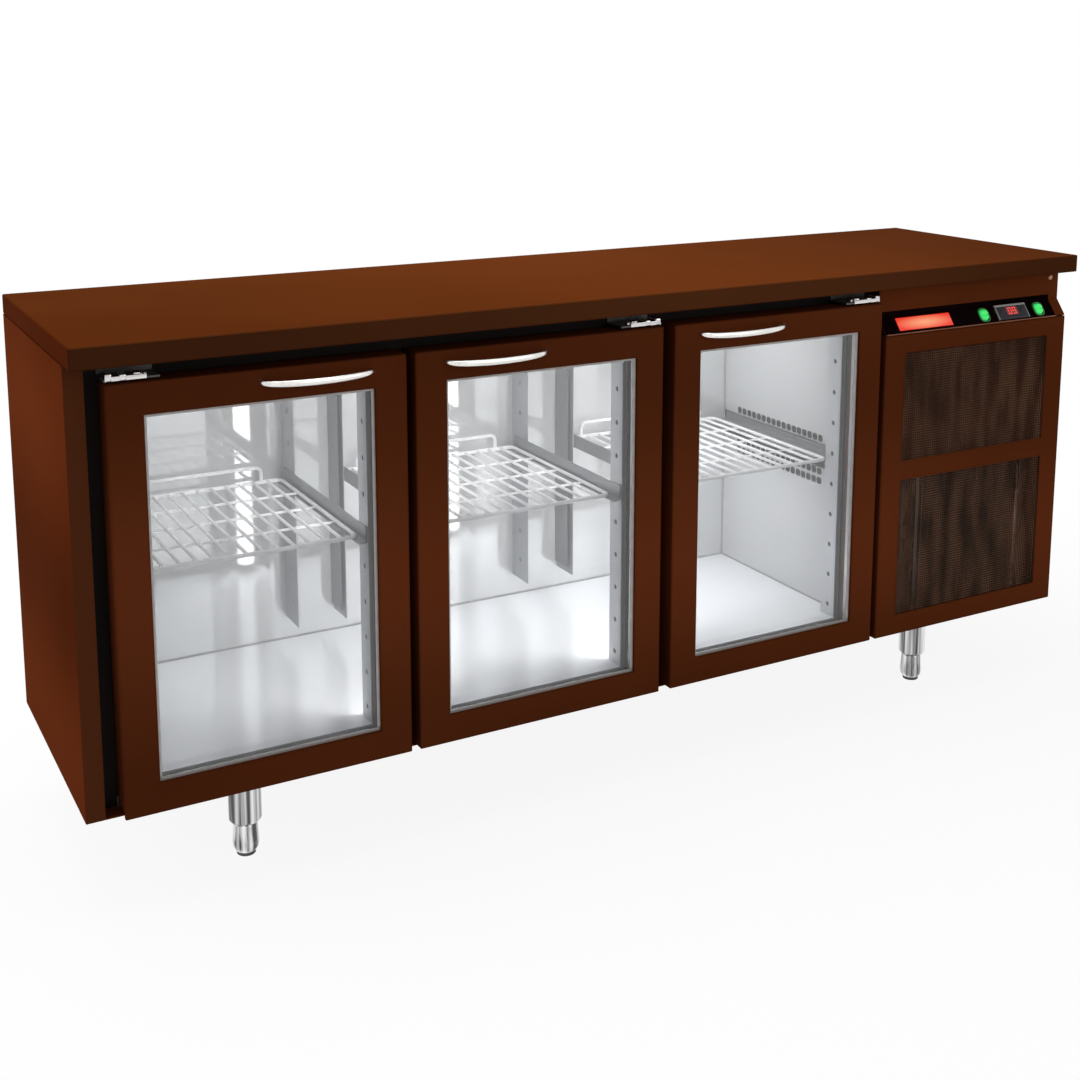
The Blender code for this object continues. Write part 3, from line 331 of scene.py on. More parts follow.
def enamel(name, colour, gloss, deep=0.8, stretch=(1.6, 1.6, 1.6), edge=0.5, phase=0.0, **sockets):
    """Sprayed enamel: two close shades in clouds, a painted shade along the edges, and a faint peel."""
    return place_group(plain(name, colour, gloss[0], **sockets), ENAMEL, (1, 1, 1), *PEEL_BUMP,
                       Stretch=stretch, Phase=phase, Edge=edge, Gloss_low=gloss[0], Gloss_high=gloss[1],
                       **shades(colour, deep))


def drawn(name, colour, gloss, scale, depth=0.9, bump=0.04, metallic=1.0, **sockets):
    """Rolled or brushed metal with lines along the axis of the smallest scale; depth darkens the lines."""
    return place_group(plain(name, colour, gloss[0], metallic, **sockets), DRAWN, scale, bump, LINE_DEPTH,
                       Gloss_low=gloss[0], Gloss_high=gloss[1], **shades(colour, depth))


print("groups to place:", ENAMEL.name, "and", DRAWN.name)


# %% [markdown]
# ## Painted finishes
# The cabinet is sprayed one deep brown. One paint for all would look too even, so each side gets its own lit
# or shaded copy of it, with painted bands of light and shade across it, and a helper paints another shade on
# the edges of a panel that face another way.

# %% Enamels
FACING = (0.6, 0.8)
BAKED_GLOSS = (0.28, 0.40)
ENAMEL_SHEEN = {"metallic": 0.12, "Specular_IOR_Level": 0.0, "Specular_Tint": (0.50, 0.26, 0.16, 1)}


def cabinet_enamel(name, colour, deep, stretch, edge=0.5, phase=0.0):
    """The cabinet's enamel as a lit or shaded copy for one side, with that side's painted bands of light and
    shade.
    """
    return enamel(name, colour, BAKED_GLOSS, deep, stretch, edge, phase, **ENAMEL_SHEEN)


def shade_by_facing(material, axis, tone, blend="MULTIPLY"):
    """Paint shade or light on a finish where it faces along an axis: its colour is multiplied by the tone, or
    is the tone.
    """
    tree, shader = shader_of(material)
    normal = add(tree, "SeparateXYZ", Vector=add(tree, "TexCoord").outputs["Normal"]).outputs
    facing = ranged(tree, maths(tree, "ABSOLUTE", normal[axis]), *FACING)
    base = shader["Base Color"]
    feed(tree, colour_mix(tree, facing, base.links[0].from_socket, (*tone, 1), blend), base)


# Each side's enamel is a lit or shaded copy of one brown, and its bands, set by stretch and phase, are
# painted light and shade.
brown_enamel = cabinet_enamel("brown_enamel", (0.150, 0.0355, 0.0112), 0.55, (0.12, 0.0, 1.12), 0.6, -4.3)
side_enamel = cabinet_enamel("side_enamel", (0.124, 0.0254, 0.0062), 0.48, (0.0, 0.05, 1.25), 0.5, -2.46)
back_enamel = cabinet_enamel("back_enamel", (0.140, 0.0310, 0.0090), 0.84, (0.3, 0.1, 0.5))
top_enamel = cabinet_enamel("top_enamel", (0.126, 0.0306, 0.0058), 0.62, (0.33, 0.08, 0.0), 0.5, 5.95)
# The countertop's left and front edges and the side panel's front edge get a painted shade by the way they
# face.
shade_by_facing(top_enamel, "X", (0.74, 0.60, 0.78))
shade_by_facing(top_enamel, "Y", (0.74, 0.95, 1.8))
shade_by_facing(side_enamel, "Y", (0.095, 0.0273, 0.0101), "MIX")
# A pale brown for the fold under the film: a painted highlight where the fold catches the light.
fold_enamel = enamel("fold_enamel", (0.40, 0.165, 0.095), (0.30, 0.42), 0.75, (6, 6, 6), 0.3,
                     Specular_IOR_Level=0.05)
# A near-black enamel for sheets and plugs set where there is only shade: it paints the shade of gaps, slots
# and holes.
dark_recess = enamel("dark_recess", (0.010, 0.005, 0.004), (0.45, 0.6), 0.6, Specular_IOR_Level=0.1)
print("materials so far:", len(bpy.data.materials))


# %% [markdown]
# ## Metals
# Polished liner, dull brackets, chrome, nickel, copper and the dark mesh differ in tone, gloss and in the way
# that they were drawn. Each is the drawn-metal group with its own values.

# %% Metals
shelf_white = drawn("shelf_white", (0.96, 0.96, 0.97), (0.25, 0.40), (90, 90, 90), 0.94, 0.02, 0.0)
liner_steel = drawn("liner_steel", (0.68, 0.69, 0.70), (0.03, 0.06), (3, 3, 200), 0.97, 0.006, 0.42,
                    Specular_IOR_Level=0.1)
cover_steel = drawn("cover_steel", (0.56, 0.57, 0.58), (0.30, 0.40), (3, 3, 200), 0.97, 0.01, 0.15)
post_steel = drawn("post_steel", (0.40, 0.41, 0.43), (0.30, 0.42), (420, 420, 6), 0.93, 0.01, 0.5)
rail_steel = drawn("rail_steel", (0.26, 0.27, 0.28), (0.30, 0.42), (420, 6, 420), 0.93, 0.01, 0.5)
return_steel = drawn("return_steel", (0.56, 0.57, 0.60), (0.30, 0.42), (420, 420, 6), 0.95, 0.01, 0.4)
bright_chrome = drawn("bright_chrome", (0.72, 0.70, 0.69), (0.12, 0.22), (6, 160, 160), 0.70, 0.01)
# Deep dark streaks along the legs' chrome are a painted reflection.
leg_chrome = drawn("leg_chrome", (0.88, 0.88, 0.89), (0.06, 0.14), (95, 95, 1.5), 0.10, 0.01)
satin_nickel = drawn("satin_nickel", (0.86, 0.84, 0.80), (0.20, 0.32), (6, 300, 300), 0.85)
fin_aluminium = drawn("fin_aluminium", (0.62, 0.63, 0.64), (0.30, 0.45), (30, 30, 400))
condenser_black = drawn("condenser_black", (0.050, 0.042, 0.036), (0.40, 0.55), (30, 30, 200), 0.6, 0.04, 0.3)
galvanised = drawn("galvanised_sheet", (0.40, 0.41, 0.41), (0.35, 0.55), (25, 25, 25), 0.75)
hinge_zinc = drawn("hinge_zinc", (0.10, 0.095, 0.09), (0.35, 0.55), (25, 25, 25), 0.75, 0.04, 0.6)
dull_copper = drawn("dull_copper", (0.58, 0.29, 0.21), (0.35, 0.5), (30, 30, 30), 0.6)
copper = drawn("copper_pipe", (0.72, 0.34, 0.20), (0.20, 0.35), (60, 60, 60), 0.8)
mesh_bronze = drawn("mesh_bronze", (0.205, 0.105, 0.062), (0.5, 0.65), (40, 40, 8), 0.36, 0.02, 0.2,
                    Specular_IOR_Level=0.1)
dim_brass = drawn("dim_brass", (0.42, 0.26, 0.18), (0.3, 0.4), (90, 90, 90), 0.7)
print("materials with the metals:", len(bpy.data.materials))


# %% [markdown]
# ## Rubber and mouldings
# Sealant, gaskets, feet and mouldings are soft and dull. The enamel group serves for them as well, with
# small clouds for the sealant and the bead.

# %% Rubber and mouldings
seam_grey = enamel("seam_grey", (0.34, 0.34, 0.35), (0.5, 0.6), 0.8, (40, 40, 40), 0.0)
bead_grey = enamel("bead_grey", (0.68, 0.64, 0.62), (0.35, 0.5), 0.86, (20, 20, 20), 0.3)
seal_rubber = enamel("seal_rubber", (0.150, 0.146, 0.145), (0.6, 0.75), 0.8)
black_moulding = enamel("black_moulding", (0.012, 0.012, 0.013), (0.30, 0.45), 0.7, Specular_IOR_Level=0.3)
black_film = enamel("black_film", (0.0090, 0.0034, 0.0036), (0.25, 0.35), 0.6, Specular_IOR_Level=0.0)
compressor_black = enamel("compressor_black", (0.016, 0.016, 0.017), (0.3, 0.45), 0.7)
grey_moulding = enamel("grey_moulding", (0.30, 0.29, 0.30), (0.3, 0.42), 0.84)
# A pale grey for the strip along the thermostat's top: a painted highlight.
pale_moulding = enamel("pale_moulding", (0.52, 0.51, 0.49), (0.3, 0.42), 0.84)
dark_moulding = enamel("dark_moulding", (0.040, 0.034, 0.046), (0.3, 0.42), 0.7, Specular_IOR_Level=0.2)
print("materials with rubber and mouldings:", len(bpy.data.materials))


# %% [markdown]
# ## Finishes that glow
# The tube lamps, the switches, the red plate and the display give light. A lamp as bright as it must be to
# light the cold space would be a flat white bar to the camera, so it is dimmer where it is looked at. Each
# lens glows in clouds of two shades, so that it doesn't look printed.

# %% Lamps and lenses
LAMP_STRENGTHS = (17.0, 21.0)
LAMP_SEEN = 3.2
LAMP_BRIGHT = (1.0, 0.99, 0.97)
LENS_STRETCH = (60, 60, 60)
GLOW_DEEP = 0.8
GLOW_EDGE = 0.5


def seen(tree):
    """One for rays from the camera, off gloss or through glass, and nought for light on the object."""
    path = add(tree, "LightPath").outputs
    either = maths(tree, "MAXIMUM", path["Is Camera Ray"], path["Is Glossy Ray"])
    return maths(tree, "MAXIMUM", either, path["Is Transmission Ray"])


def cloudy_glow(material, colour):
    """Let a finish glow in clouds of two shades of one colour."""
    tree, shader = shader_of(material)
    clouds = add(tree, "Group", {"node_tree": ENAMEL}, Vector=place_on(tree), Stretch=LENS_STRETCH,
                 Edge=GLOW_EDGE, **shades(colour, GLOW_DEEP))
    feed(tree, clouds.outputs["Colour"], shader["Emission Color"])
    return material


def lens(name, colour, gloss, deep, edge, strength, glow=None):
    """A lit moulding of fine clouds, with a glow of its own colour where one is given."""
    made = enamel(name, colour, gloss, deep, LENS_STRETCH, edge, Emission_Strength=strength)
    return cloudy_glow(made, glow) if glow else made


lamp_glows = []
for number, strength in enumerate(LAMP_STRENGTHS, 1):
    glow = enamel(f"lamp_glow_{number}", (0.95, 0.96, 0.98), (0.35, 0.45), 0.97, Emission_Strength=strength)
    tree, shader = shader_of(glow)
    dimmed = (*(channel * LAMP_SEEN / strength for channel in LAMP_BRIGHT), 1)
    feed(tree, colour_mix(tree, seen(tree), (*LAMP_BRIGHT, 1), dimmed), shader["Emission Color"])
    lamp_glows.append(glow)
green_lens = lens("green_lens", (0.02, 0.55, 0.09), (0.15, 0.25), 0.8, 0.4, 0.75, (0.05, 0.85, 0.17))
green_rim = lens("green_rim", (0.01, 0.16, 0.03), (0.2, 0.3), 0.8, 0.4, 0.10, (0.02, 0.60, 0.09))
red_lens = lens("red_lens", (0.40, 0.03, 0.012), (0.2, 0.3), 0.8, 0.9, 0.78)
red_window = lens("red_window", (0.05, 0.004, 0.004), (0.1, 0.2), 0.7, 0.2, 0.14, (0.9, 0.03, 0.03))
digit_glow = lens("digit_glow", (0.9, 0.05, 0.04), (0.3, 0.4), 0.8, 0.2, 0.85, (1.0, 0.07, 0.06))
display_glass = enamel("display_glass", (0.012, 0.007, 0.014), (0.08, 0.16), 0.7, LENS_STRETCH, 0.2,
                       Specular_IOR_Level=0.2)
print("materials with lamps and lenses:", len(bpy.data.materials))


# %% [markdown]
# ## Clear glass
# The panes are nearly colourless float glass. A thin transparent film would be cheaper to render, but real
# panes bend and mirror light, so it is a transmitting shader with a tint that drifts very slightly.

# %% Door glass
GLASS_TINT = (0.990, 0.993, 0.996)
GLASS_DEEP = (0.984, 0.990, 0.993)
RIPPLE_NOISE = (2.0, 1.0)
door_glass = plain("door_glass", GLASS_TINT, 0.0, Transmission_Weight=1.0, IOR=1.45)
tree, shader = shader_of(door_glass)
ripple = noise(tree, place_on(tree), *RIPPLE_NOISE)
feed(tree, colour_mix(tree, ripple, (*GLASS_TINT, 1), (*GLASS_DEEP, 1)), shader["Base Color"])
print("all materials:", len(bpy.data.materials))


# %% [markdown]
# ## Pieces that keep their CAD shape
# Panels, door frames and the liner are flat sheets with crisp edges, and the CAD solids already have that
# shape. They only need their finish, so each keeps its mesh and gets a new material.

# %% Finishes on the CAD nodes
SCUFF_EDGE = (0.1890, 0.1905)
FLOOR_TINT_AND_LIGHT = (0.91, 0.925, 0.955, 1.0)
SCUFF_ROUGHNESS = 0.11
SCUFF_METAL = 0.15


def finish_nodes(material, *names):
    """Give CAD nodes a finish in place of the plain one they came with."""
    for name in names:
        mesh = frame["nodes"][name].data
        mesh.materials.clear()
        mesh.materials.append(material)


def height_mask(tree, low, high):
    """Nought below a height and one above another, from Object coordinates."""
    return ranged(tree, add(tree, "SeparateXYZ", Vector=place_on(tree)).outputs["Z"], low, high)


def dull_floor(material):
    """Under a height the liner is a scuffed floor: it is rougher and less of a mirror than the walls, and
    paler and bluish, partly its own tint and partly painted light for the floor lit from above.
    """
    tree, shader = shader_of(material)
    wall = height_mask(tree, *SCUFF_EDGE)
    polish = add(tree, "Mix", Factor=wall, A=SCUFF_ROUGHNESS, B=shader["Roughness"].links[0].from_socket)
    feed(tree, polish.outputs["Result"], shader["Roughness"])
    # The paler bluish tone is partly the floor's own tint and partly painted light where more light falls on
    # the floor from above.
    tone = colour_mix(tree, wall, FLOOR_TINT_AND_LIGHT, shader["Base Color"].links[0].from_socket)
    feed(tree, tone, shader["Base Color"])
    mirror = ranged(tree, wall, 0.0, 1.0, SCUFF_METAL, shader["Metallic"].default_value)
    feed(tree, mirror, shader["Metallic"])


finish_nodes(top_enamel, "countertop")
finish_nodes(side_enamel, "left_side_panel")
finish_nodes(back_enamel, "right_side_panel", "back_panel", "base_panel")
finish_nodes(brown_enamel, "grille_panel", "control_panel", *(f"{door}_frame" for door in DOORS))
dull_floor(liner_steel)
finish_nodes(liner_steel, "cold_liner")
finish_nodes(hinge_zinc, *(name for name in frame["nodes"] if name.startswith("bottom_hinge")))
finish_nodes(fin_aluminium, "evaporator_coil")
finish_nodes(black_moulding, "evaporator_fan_motor", "cord_gland")
print("the liner is scuffed under", SCUFF_EDGE[0], "m")


# %% [markdown]
# ## Rounded lines and swept tubes
# Bent wire, pipes and handles are a round or oval section carried along a line. Blender's curves with a bevel
# could make them, but they are turned into meshes only later. Here the line's corners are rounded first, and
# the section's points are then set out across the line at every point of it.

# %% Rounded lines and swept tubes
def rounded(corners, radius, steps=6, closed=False):
    """A line through corners, each corner replaced by the curve (1-t)^2 A + 2t(1-t) C + t^2 B."""
    corners = np.asarray(corners, float)
    before, after = np.roll(corners, 1, 0) - corners, np.roll(corners, -1, 0) - corners
    reach_before, reach_after = (np.linalg.norm(way, axis=1, keepdims=True) for way in (before, after))
    start = corners + before / reach_before * np.minimum(radius, reach_before / 2)
    end = corners + after / reach_after * np.minimum(radius, reach_after / 2)
    t = np.linspace(0, 1, steps + 1)[None, :, None]
    curves = (1 - t) ** 2 * start[:, None] + 2 * t * (1 - t) * corners[:, None] + t ** 2 * end[:, None]
    if closed:
        return curves.reshape(-1, corners.shape[1])
    inner = curves[1:-1].reshape(-1, corners.shape[1])
    return np.concatenate([corners[:1], inner, corners[-1:]])


def swept(path, outline, up, scale=1.0, closed=False):
    """An outline of (side, up) points carried along a path; scale may change along the path."""
    path, outline = np.asarray(path, float), np.asarray(outline, float)
    if closed:
        tangent = np.roll(path, -1, 0) - np.roll(path, 1, 0)
    else:
        tangent = np.gradient(path, axis=0)
    tangent /= np.linalg.norm(tangent, axis=1, keepdims=True)
    side = np.cross(tangent, np.asarray(up, float))
    side /= np.linalg.norm(side, axis=1, keepdims=True)
    rise = np.cross(side, tangent)
    size = np.ones((len(path), 2)) * np.asarray(scale, float)
    across = size[:, None, :] * outline[None]
    points = path[:, None] + across[..., :1] * side[:, None] + across[..., 1:] * rise[:, None]
    rows, columns = points.shape[:2]
    faces = grid_faces(rows, columns, close_rows=closed, close_columns=True)
    if not closed:
        faces += [list(range(columns)), [(rows - 1) * columns + i for i in range(columns)]]
    return points, faces


def circle(radius, sides=12):
    """Points of a circle: (r cos a, r sin a)."""
    angle = np.linspace(0, 2 * np.pi, sides, endpoint=False)
    return radius * np.stack([np.cos(angle), np.sin(angle)], -1)


bend = rounded([(0, 0, 0), (1, 0, 0), (1, 1, 0)], 0.5)
tube = swept(bend, circle(0.1), (0, 0, 1))
print("a bent line has", len(bend), "points, and a tube along it", len(tube[1]), "faces")


# %% [markdown]
# ## Wire shelves
# A real shelf is round wire welded into a grid: a bent rim, thin wires from front to back that carry the
# bottles, a few cross wires under them, and a raised stop at the back. Straight wires are all the same
# shape, so one array makes them together; the rim and the stop are circles carried along rounded lines.

# %% Straight wires
STEEP = 0.9


def wires(starts, ends, radius, sides=8):
    """Many straight round wires at once: a ring of points round both ends of each."""
    starts, ends = np.asarray(starts, float), np.asarray(ends, float)
    axis = (ends - starts) / np.linalg.norm(ends - starts, axis=1, keepdims=True)
    guide = np.where(np.abs(axis[:, 2:]) > STEEP, [[1.0, 0, 0]], [[0, 0, 1.0]])
    side = np.cross(axis, guide)
    side /= np.linalg.norm(side, axis=1, keepdims=True)
    rise = np.cross(axis, side)
    ring = circle(radius, sides)
    round_about = side[:, None] * ring[None, :, :1] + rise[:, None] * ring[None, :, 1:]
    points = np.stack([starts[:, None] + round_about, ends[:, None] + round_about], 1)
    first = np.arange(len(starts))[:, None] * 2 * sides
    i = np.arange(sides)[None]
    following = (i + 1) % sides
    walls = np.stack([first + i, first + following, first + sides + following, first + sides + i], -1)
    caps = np.concatenate([first + i, first + sides + i])
    return points, walls.reshape(-1, 4).tolist() + caps.tolist()


print("a wire has", len(wires([(0, 0, 0)], [(1, 0, 0)], 0.1)[1]), "faces")

# %% Shelves
WIRE_COUNT = 13
CROSS_COUNT = 3
RIM_WIRE = 0.0032
THIN_WIRE = 0.0026
CROSS_WIRE = 0.0021
RIM_CORNER = 0.014
STOP_INSET = 0.035
STOP_CORNER = 0.012
RIM_SIDES = 10


def shelf_shape(low, high):
    """Rim, thin wires, cross wires and back stop of one shelf, inside the CAD shelf's box."""
    left, front, bottom = low + RIM_WIRE
    right, back, top = high - RIM_WIRE
    rim_line = rounded([(left, front, bottom), (right, front, bottom), (right, back, bottom),
                        (left, back, bottom)], RIM_CORNER, closed=True)
    rim = swept(rim_line, circle(RIM_WIRE, RIM_SIDES), (0, 0, 1), closed=True)
    x = np.linspace(left, right, WIRE_COUNT + 2)[1:-1]
    level = np.full(WIRE_COUNT, low[2] + 2 * RIM_WIRE - THIN_WIRE)
    thin = wires(np.stack([x, 0 * x + front, level], -1), np.stack([x, 0 * x + back, level], -1), THIN_WIRE)
    y = np.linspace(front, back, CROSS_COUNT + 2)[1:-1]
    level = np.full(CROSS_COUNT, low[2] + CROSS_WIRE)
    cross = wires(np.stack([0 * y + left, y, level], -1), np.stack([0 * y + right, y, level], -1), CROSS_WIRE)
    stop_line = rounded([(left + STOP_INSET, back, bottom), (left + STOP_INSET, back, top),
                         (right - STOP_INSET, back, top), (right - STOP_INSET, back, bottom)], STOP_CORNER)
    return gather(rim, thin, cross, swept(stop_line, circle(RIM_WIRE, RIM_SIDES), (0, 1, 0)))


for number in (1, 2, 3):
    node = f"wire_shelf_{number}"
    put(f"wire_rack_{number}", shelf_shape(*span(node)), shelf_white, slot="plated_wire", stands_for=[node])


# %% [markdown]
# ## Shelf rails
# The shelves lie on folded steel angles that hook into the posts: a foot under the rim and an upright flange
# beside it. One folded outline carried from front to back gives each rail.

# %% Folded rails
RAIL_SHEET = 0.0015
RAIL_RISE = 0.026
SLOT_SIDE_RISE = 0.0150
RAIL_FOLD = 0.003
FOLD_STEPS = 5


def rail_shape(low, high, side, rise):
    """An outline of foot, fold and flange in x and z, carried straight along y; the flange is at side."""
    inner, outer = (low[0], high[0]) if side == "right" else (high[0], low[0])
    way = np.sign(inner - outer)
    line = rounded([(inner, low[2]), (outer, low[2]), (outer, low[2] + rise)], RAIL_FOLD, FOLD_STEPS)
    back = rounded([(inner, low[2] + RAIL_SHEET), (outer + way * RAIL_SHEET, low[2] + RAIL_SHEET),
                    (outer + way * RAIL_SHEET, low[2] + rise)], RAIL_FOLD - RAIL_SHEET, FOLD_STEPS)
    outline = np.concatenate([line, back[::-1]])
    points = np.stack([np.insert(outline, 1, y, axis=1) for y in (low[1], high[1])])
    count = len(outline)
    ends = [[offset + corner for corner in (i, i + 1, count - 2 - i, count - 1 - i)]
            for offset in (0, count) for i in range(len(line) - 1)]
    return points, grid_faces(2, count, close_columns=True) + ends


for number in (1, 2, 3):
    for side in ("left", "right"):
        node = f"shelf_rail_{number}_{side}"
        rise = SLOT_SIDE_RISE if (number, side) == (3, "right") else RAIL_RISE
        put(f"shelf_angle_{number}_{side}", rail_shape(*span(node), side, rise), rail_steel,
            stands_for=[node], sharp=CRISP)


# %% [markdown]
# ## Handles
# Each handle is a slim bow, thick in the middle and tapered to both ends, which meet the door square on.
# An ellipse carried along a bowed line gives that, with its two half sizes growing towards the middle.

# %% Bow handles
HANDLE_STATIONS = 41
END_HALF = (0.0028, 0.0036)
MIDDLE_HALF = (0.0036, 0.0050)
HANDLE_SAG = 0.0035
HANDLE_OVERRUN = 0.0035
HANDLE_LIFT = 0.0045
HANDLE_SIDES = 20
BOW_POWER = 0.75
SWELL_POWER = 0.8


def handle_shape(low, high):
    """Bow y = back - rise * sin(a)^p over x = -cos(a), hanging a little lower in the middle, with an
    ellipse that swells with sin(a)^q; p and q are BOW_POWER and SWELL_POWER."""
    angle = np.linspace(0, np.pi, HANDLE_STATIONS)
    swell = np.sin(angle)[:, None]
    half = np.array(END_HALF) + swell ** SWELL_POWER * (np.array(MIDDLE_HALF) - np.array(END_HALF))
    middle, reach = (low[0] + high[0]) / 2 - HANDLE_OVERRUN, (high[0] - low[0]) / 2
    rise = high[1] - low[1] - MIDDLE_HALF[0]
    path = np.stack([middle - reach * np.cos(angle), high[1] - rise * swell[:, 0] ** BOW_POWER,
                     (low[2] + high[2]) / 2 + HANDLE_LIFT - HANDLE_SAG * swell[:, 0]], -1)
    return swept(path, circle(1.0, HANDLE_SIDES), (0, 0, 1), half)


for door in DOORS:
    shape = handle_shape(*span(f"{door}_handle"))
    put(f"{door}_bow_handle", shape, satin_nickel, door, "chrome", [f"{door}_handle"])


# %% [markdown]
# ## Rounded boxes and hoops
# No real edge is perfectly sharp, and a rounded one catches the light. A Bevel modifier could round a cube's
# edges; a sphere cut into eight and pushed apart gives the same box with no modifier to apply. Frames round a
# rectangle are an outline carried round it with square mitres.

# %% Rounded boxes and hoops
ROUND_LIMIT = 0.999


def rounded_box(low, high, radius, steps=3):
    """A box with round edges: the eight octants of a sphere pushed apart to the box's corners."""
    low, high = np.asarray(low, float), np.asarray(high, float)
    half, middle = (high - low) / 2, (high + low) / 2
    radius = min(radius, half.min() * ROUND_LIMIT)
    turn = np.concatenate([np.linspace(q, q + 1, steps + 1) for q in range(4)]) * np.pi / 2
    rise = np.concatenate([np.linspace(q - 1, q, steps + 1) for q in range(2)]) * np.pi / 2
    quadrant = np.repeat([[1, 1], [-1, 1], [-1, -1], [1, -1]], steps + 1, axis=0)
    storey = np.repeat([-1.0, 1.0], steps + 1)
    ball = np.stack([np.outer(np.cos(rise), np.cos(turn)), np.outer(np.cos(rise), np.sin(turn)),
                     np.outer(np.sin(rise), np.ones_like(turn))], -1)
    side = np.empty_like(ball)
    side[..., :2] = quadrant
    side[..., 2] = storey[:, None]
    points = middle + side * (half - radius) + radius * ball
    rows, columns = len(rise), len(turn)
    corners = list(range(0, columns, steps + 1))
    faces = grid_faces(rows, columns, close_columns=True)
    faces += [corners, [(rows - 1) * columns + corner for corner in corners]]
    return points, faces


def hoop(low, high, inset, depth):
    """A closed outline of (inset, depth) points carried round an upright rectangle with square mitres."""
    inset, depth = np.asarray(inset, float), np.asarray(depth, float)
    x = np.stack([low[0] + inset, high[0] - inset, high[0] - inset, low[0] + inset], 1)
    z = np.stack([low[2] + inset, low[2] + inset, high[2] - inset, high[2] - inset], 1)
    y = np.repeat(depth[:, None], 4, 1)
    return np.stack([x, y, z], -1), grid_faces(len(inset), 4, close_rows=True, close_columns=True)


print("a rounded box has", len(rounded_box((0, 0, 0), (1, 1, 1), 0.1)[1]), "faces")


# %% [markdown]
# ## Sealed glass and gaskets
# A door's glass is two panes with a metal spacer between them, seen as a grey line at the edge. The gasket
# is a soft bellows with a magnet in its nose. Both run round a rectangle, so one outline with square
# mitres makes each.

# %% Panes, spacers and gaskets
PANE = 0.004
SPACER_WIDTH = 0.009
SPACER_INSET = 0.002
PANE_ROUND = 0.0006
GLASS_BITE = 0.0117
BEAD_WIDTH = 0.0045
BEAD_RISE = 0.0020
BEAD_ROUND = 0.0012
BELLOWS = ((0.0, 0.0), (0.0120, 0.0), (0.0120, 0.25), (0.0096, 0.36), (0.0120, 0.48), (0.0096, 0.62),
           (0.0116, 0.76), (0.0104, 1.0), (0.0016, 1.0), (0.0004, 0.76), (0.0024, 0.62), (0.0, 0.48),
           (0.0024, 0.36), (0.0, 0.25))
FOOT_SHADE = (0.30, 0.285, 0.275, 1.0)


def shaded_foot(material, low, high, colour):
    """Under a height a finish turns to one colour, a painted shade."""
    tree, shader = shader_of(material)
    clean = shader["Base Color"].links[0].from_socket
    feed(tree, colour_mix(tree, height_mask(tree, low, high), colour, clean), shader["Base Color"])


sill = span("door_1_glass")[0][2] + GLASS_BITE + BEAD_WIDTH
# The bead along the sill is grey below a height, a painted shade for its lower side.
shaded_foot(bead_grey, sill, sill + BEAD_WIDTH, FOOT_SHADE)
for door in DOORS:
    low, high = span(f"{door}_glass")
    front_pane = rounded_box(low, (high[0], low[1] + PANE, high[2]), PANE_ROUND, 2)
    rear_pane = rounded_box((low[0], high[1] - PANE, low[2]), high, PANE_ROUND, 2)
    put(f"{door}_panes", gather(front_pane, rear_pane), door_glass, door, "glass", [f"{door}_glass"], CRISP)
    gap = (low[1] + PANE + PANE_ROUND, high[1] - PANE - PANE_ROUND)
    spacer = hoop(low, high, [SPACER_INSET, SPACER_WIDTH, SPACER_WIDTH, SPACER_INSET],
                  [gap[0], gap[0], gap[1], gap[1]])
    put(f"{door}_spacer", spacer, fin_aluminium, door, "fin_metal")
    inner, crest = GLASS_BITE + BEAD_WIDTH, low[1] - BEAD_RISE
    bead = hoop(low, high, [GLASS_BITE, inner, inner, inner - BEAD_ROUND, GLASS_BITE],
                [low[1], low[1], low[1] - BEAD_RISE + BEAD_ROUND, crest, crest])
    put(f"{door}_glass_bead", bead, bead_grey, door, "rubber", sharp=CRISP)
    low, high = span(f"{door}_gasket")
    inset, share = np.array(BELLOWS).T
    seal = hoop(low, high, inset, low[1] + share * (high[1] - low[1]))
    put(f"{door}_seal", seal, seal_rubber, door, "rubber", [f"{door}_gasket"])


# %% [markdown]
# ## Turned shapes
# Lamps, legs, feet, screws and cans are round about an axis, as if turned on a lathe. Blender has a Screw
# modifier for this. A profile of radii and heights times a circle's cosines and sines is one line of numpy.

# %% Turned shapes
def turn_to(axis):
    """The turn that carries z onto an axis, for points in rows."""
    return np.array(Vector((0, 0, 1)).rotation_difference(Vector(axis)).to_matrix()).T


def turned(profile, place, axis=(0, 0, 1), steps=40):
    """A profile of (radius, height) points turned about an axis: x = r cos a, y = r sin a, z = height."""
    radius, height = np.array(profile, float).T
    angle = np.linspace(0, 2 * np.pi, steps, endpoint=False)
    local = np.stack([np.outer(radius, np.cos(angle)), np.outer(radius, np.sin(angle)),
                      np.outer(height, np.ones(steps))], -1)
    return local @ turn_to(axis) + np.asarray(place), grid_faces(len(radius), steps, close_columns=True)


print("a turned disc has", len(turned([(0, 0), (1, 0)], (0, 0, 0))[1]), "faces")


# %% [markdown]
# ## Lamps
# The steel back wall mirrors two bright upright strips: tube lamps behind the posts between the bays.
# Each is a diffuser that glows between two dull end caps, both turned shapes.

# %% Lamps
HEAD_CAP = 0.022
FOOT_CAP = 0.005
CAP_ROUND = 0.002
GLOW_TAKE_IN = 0.0003

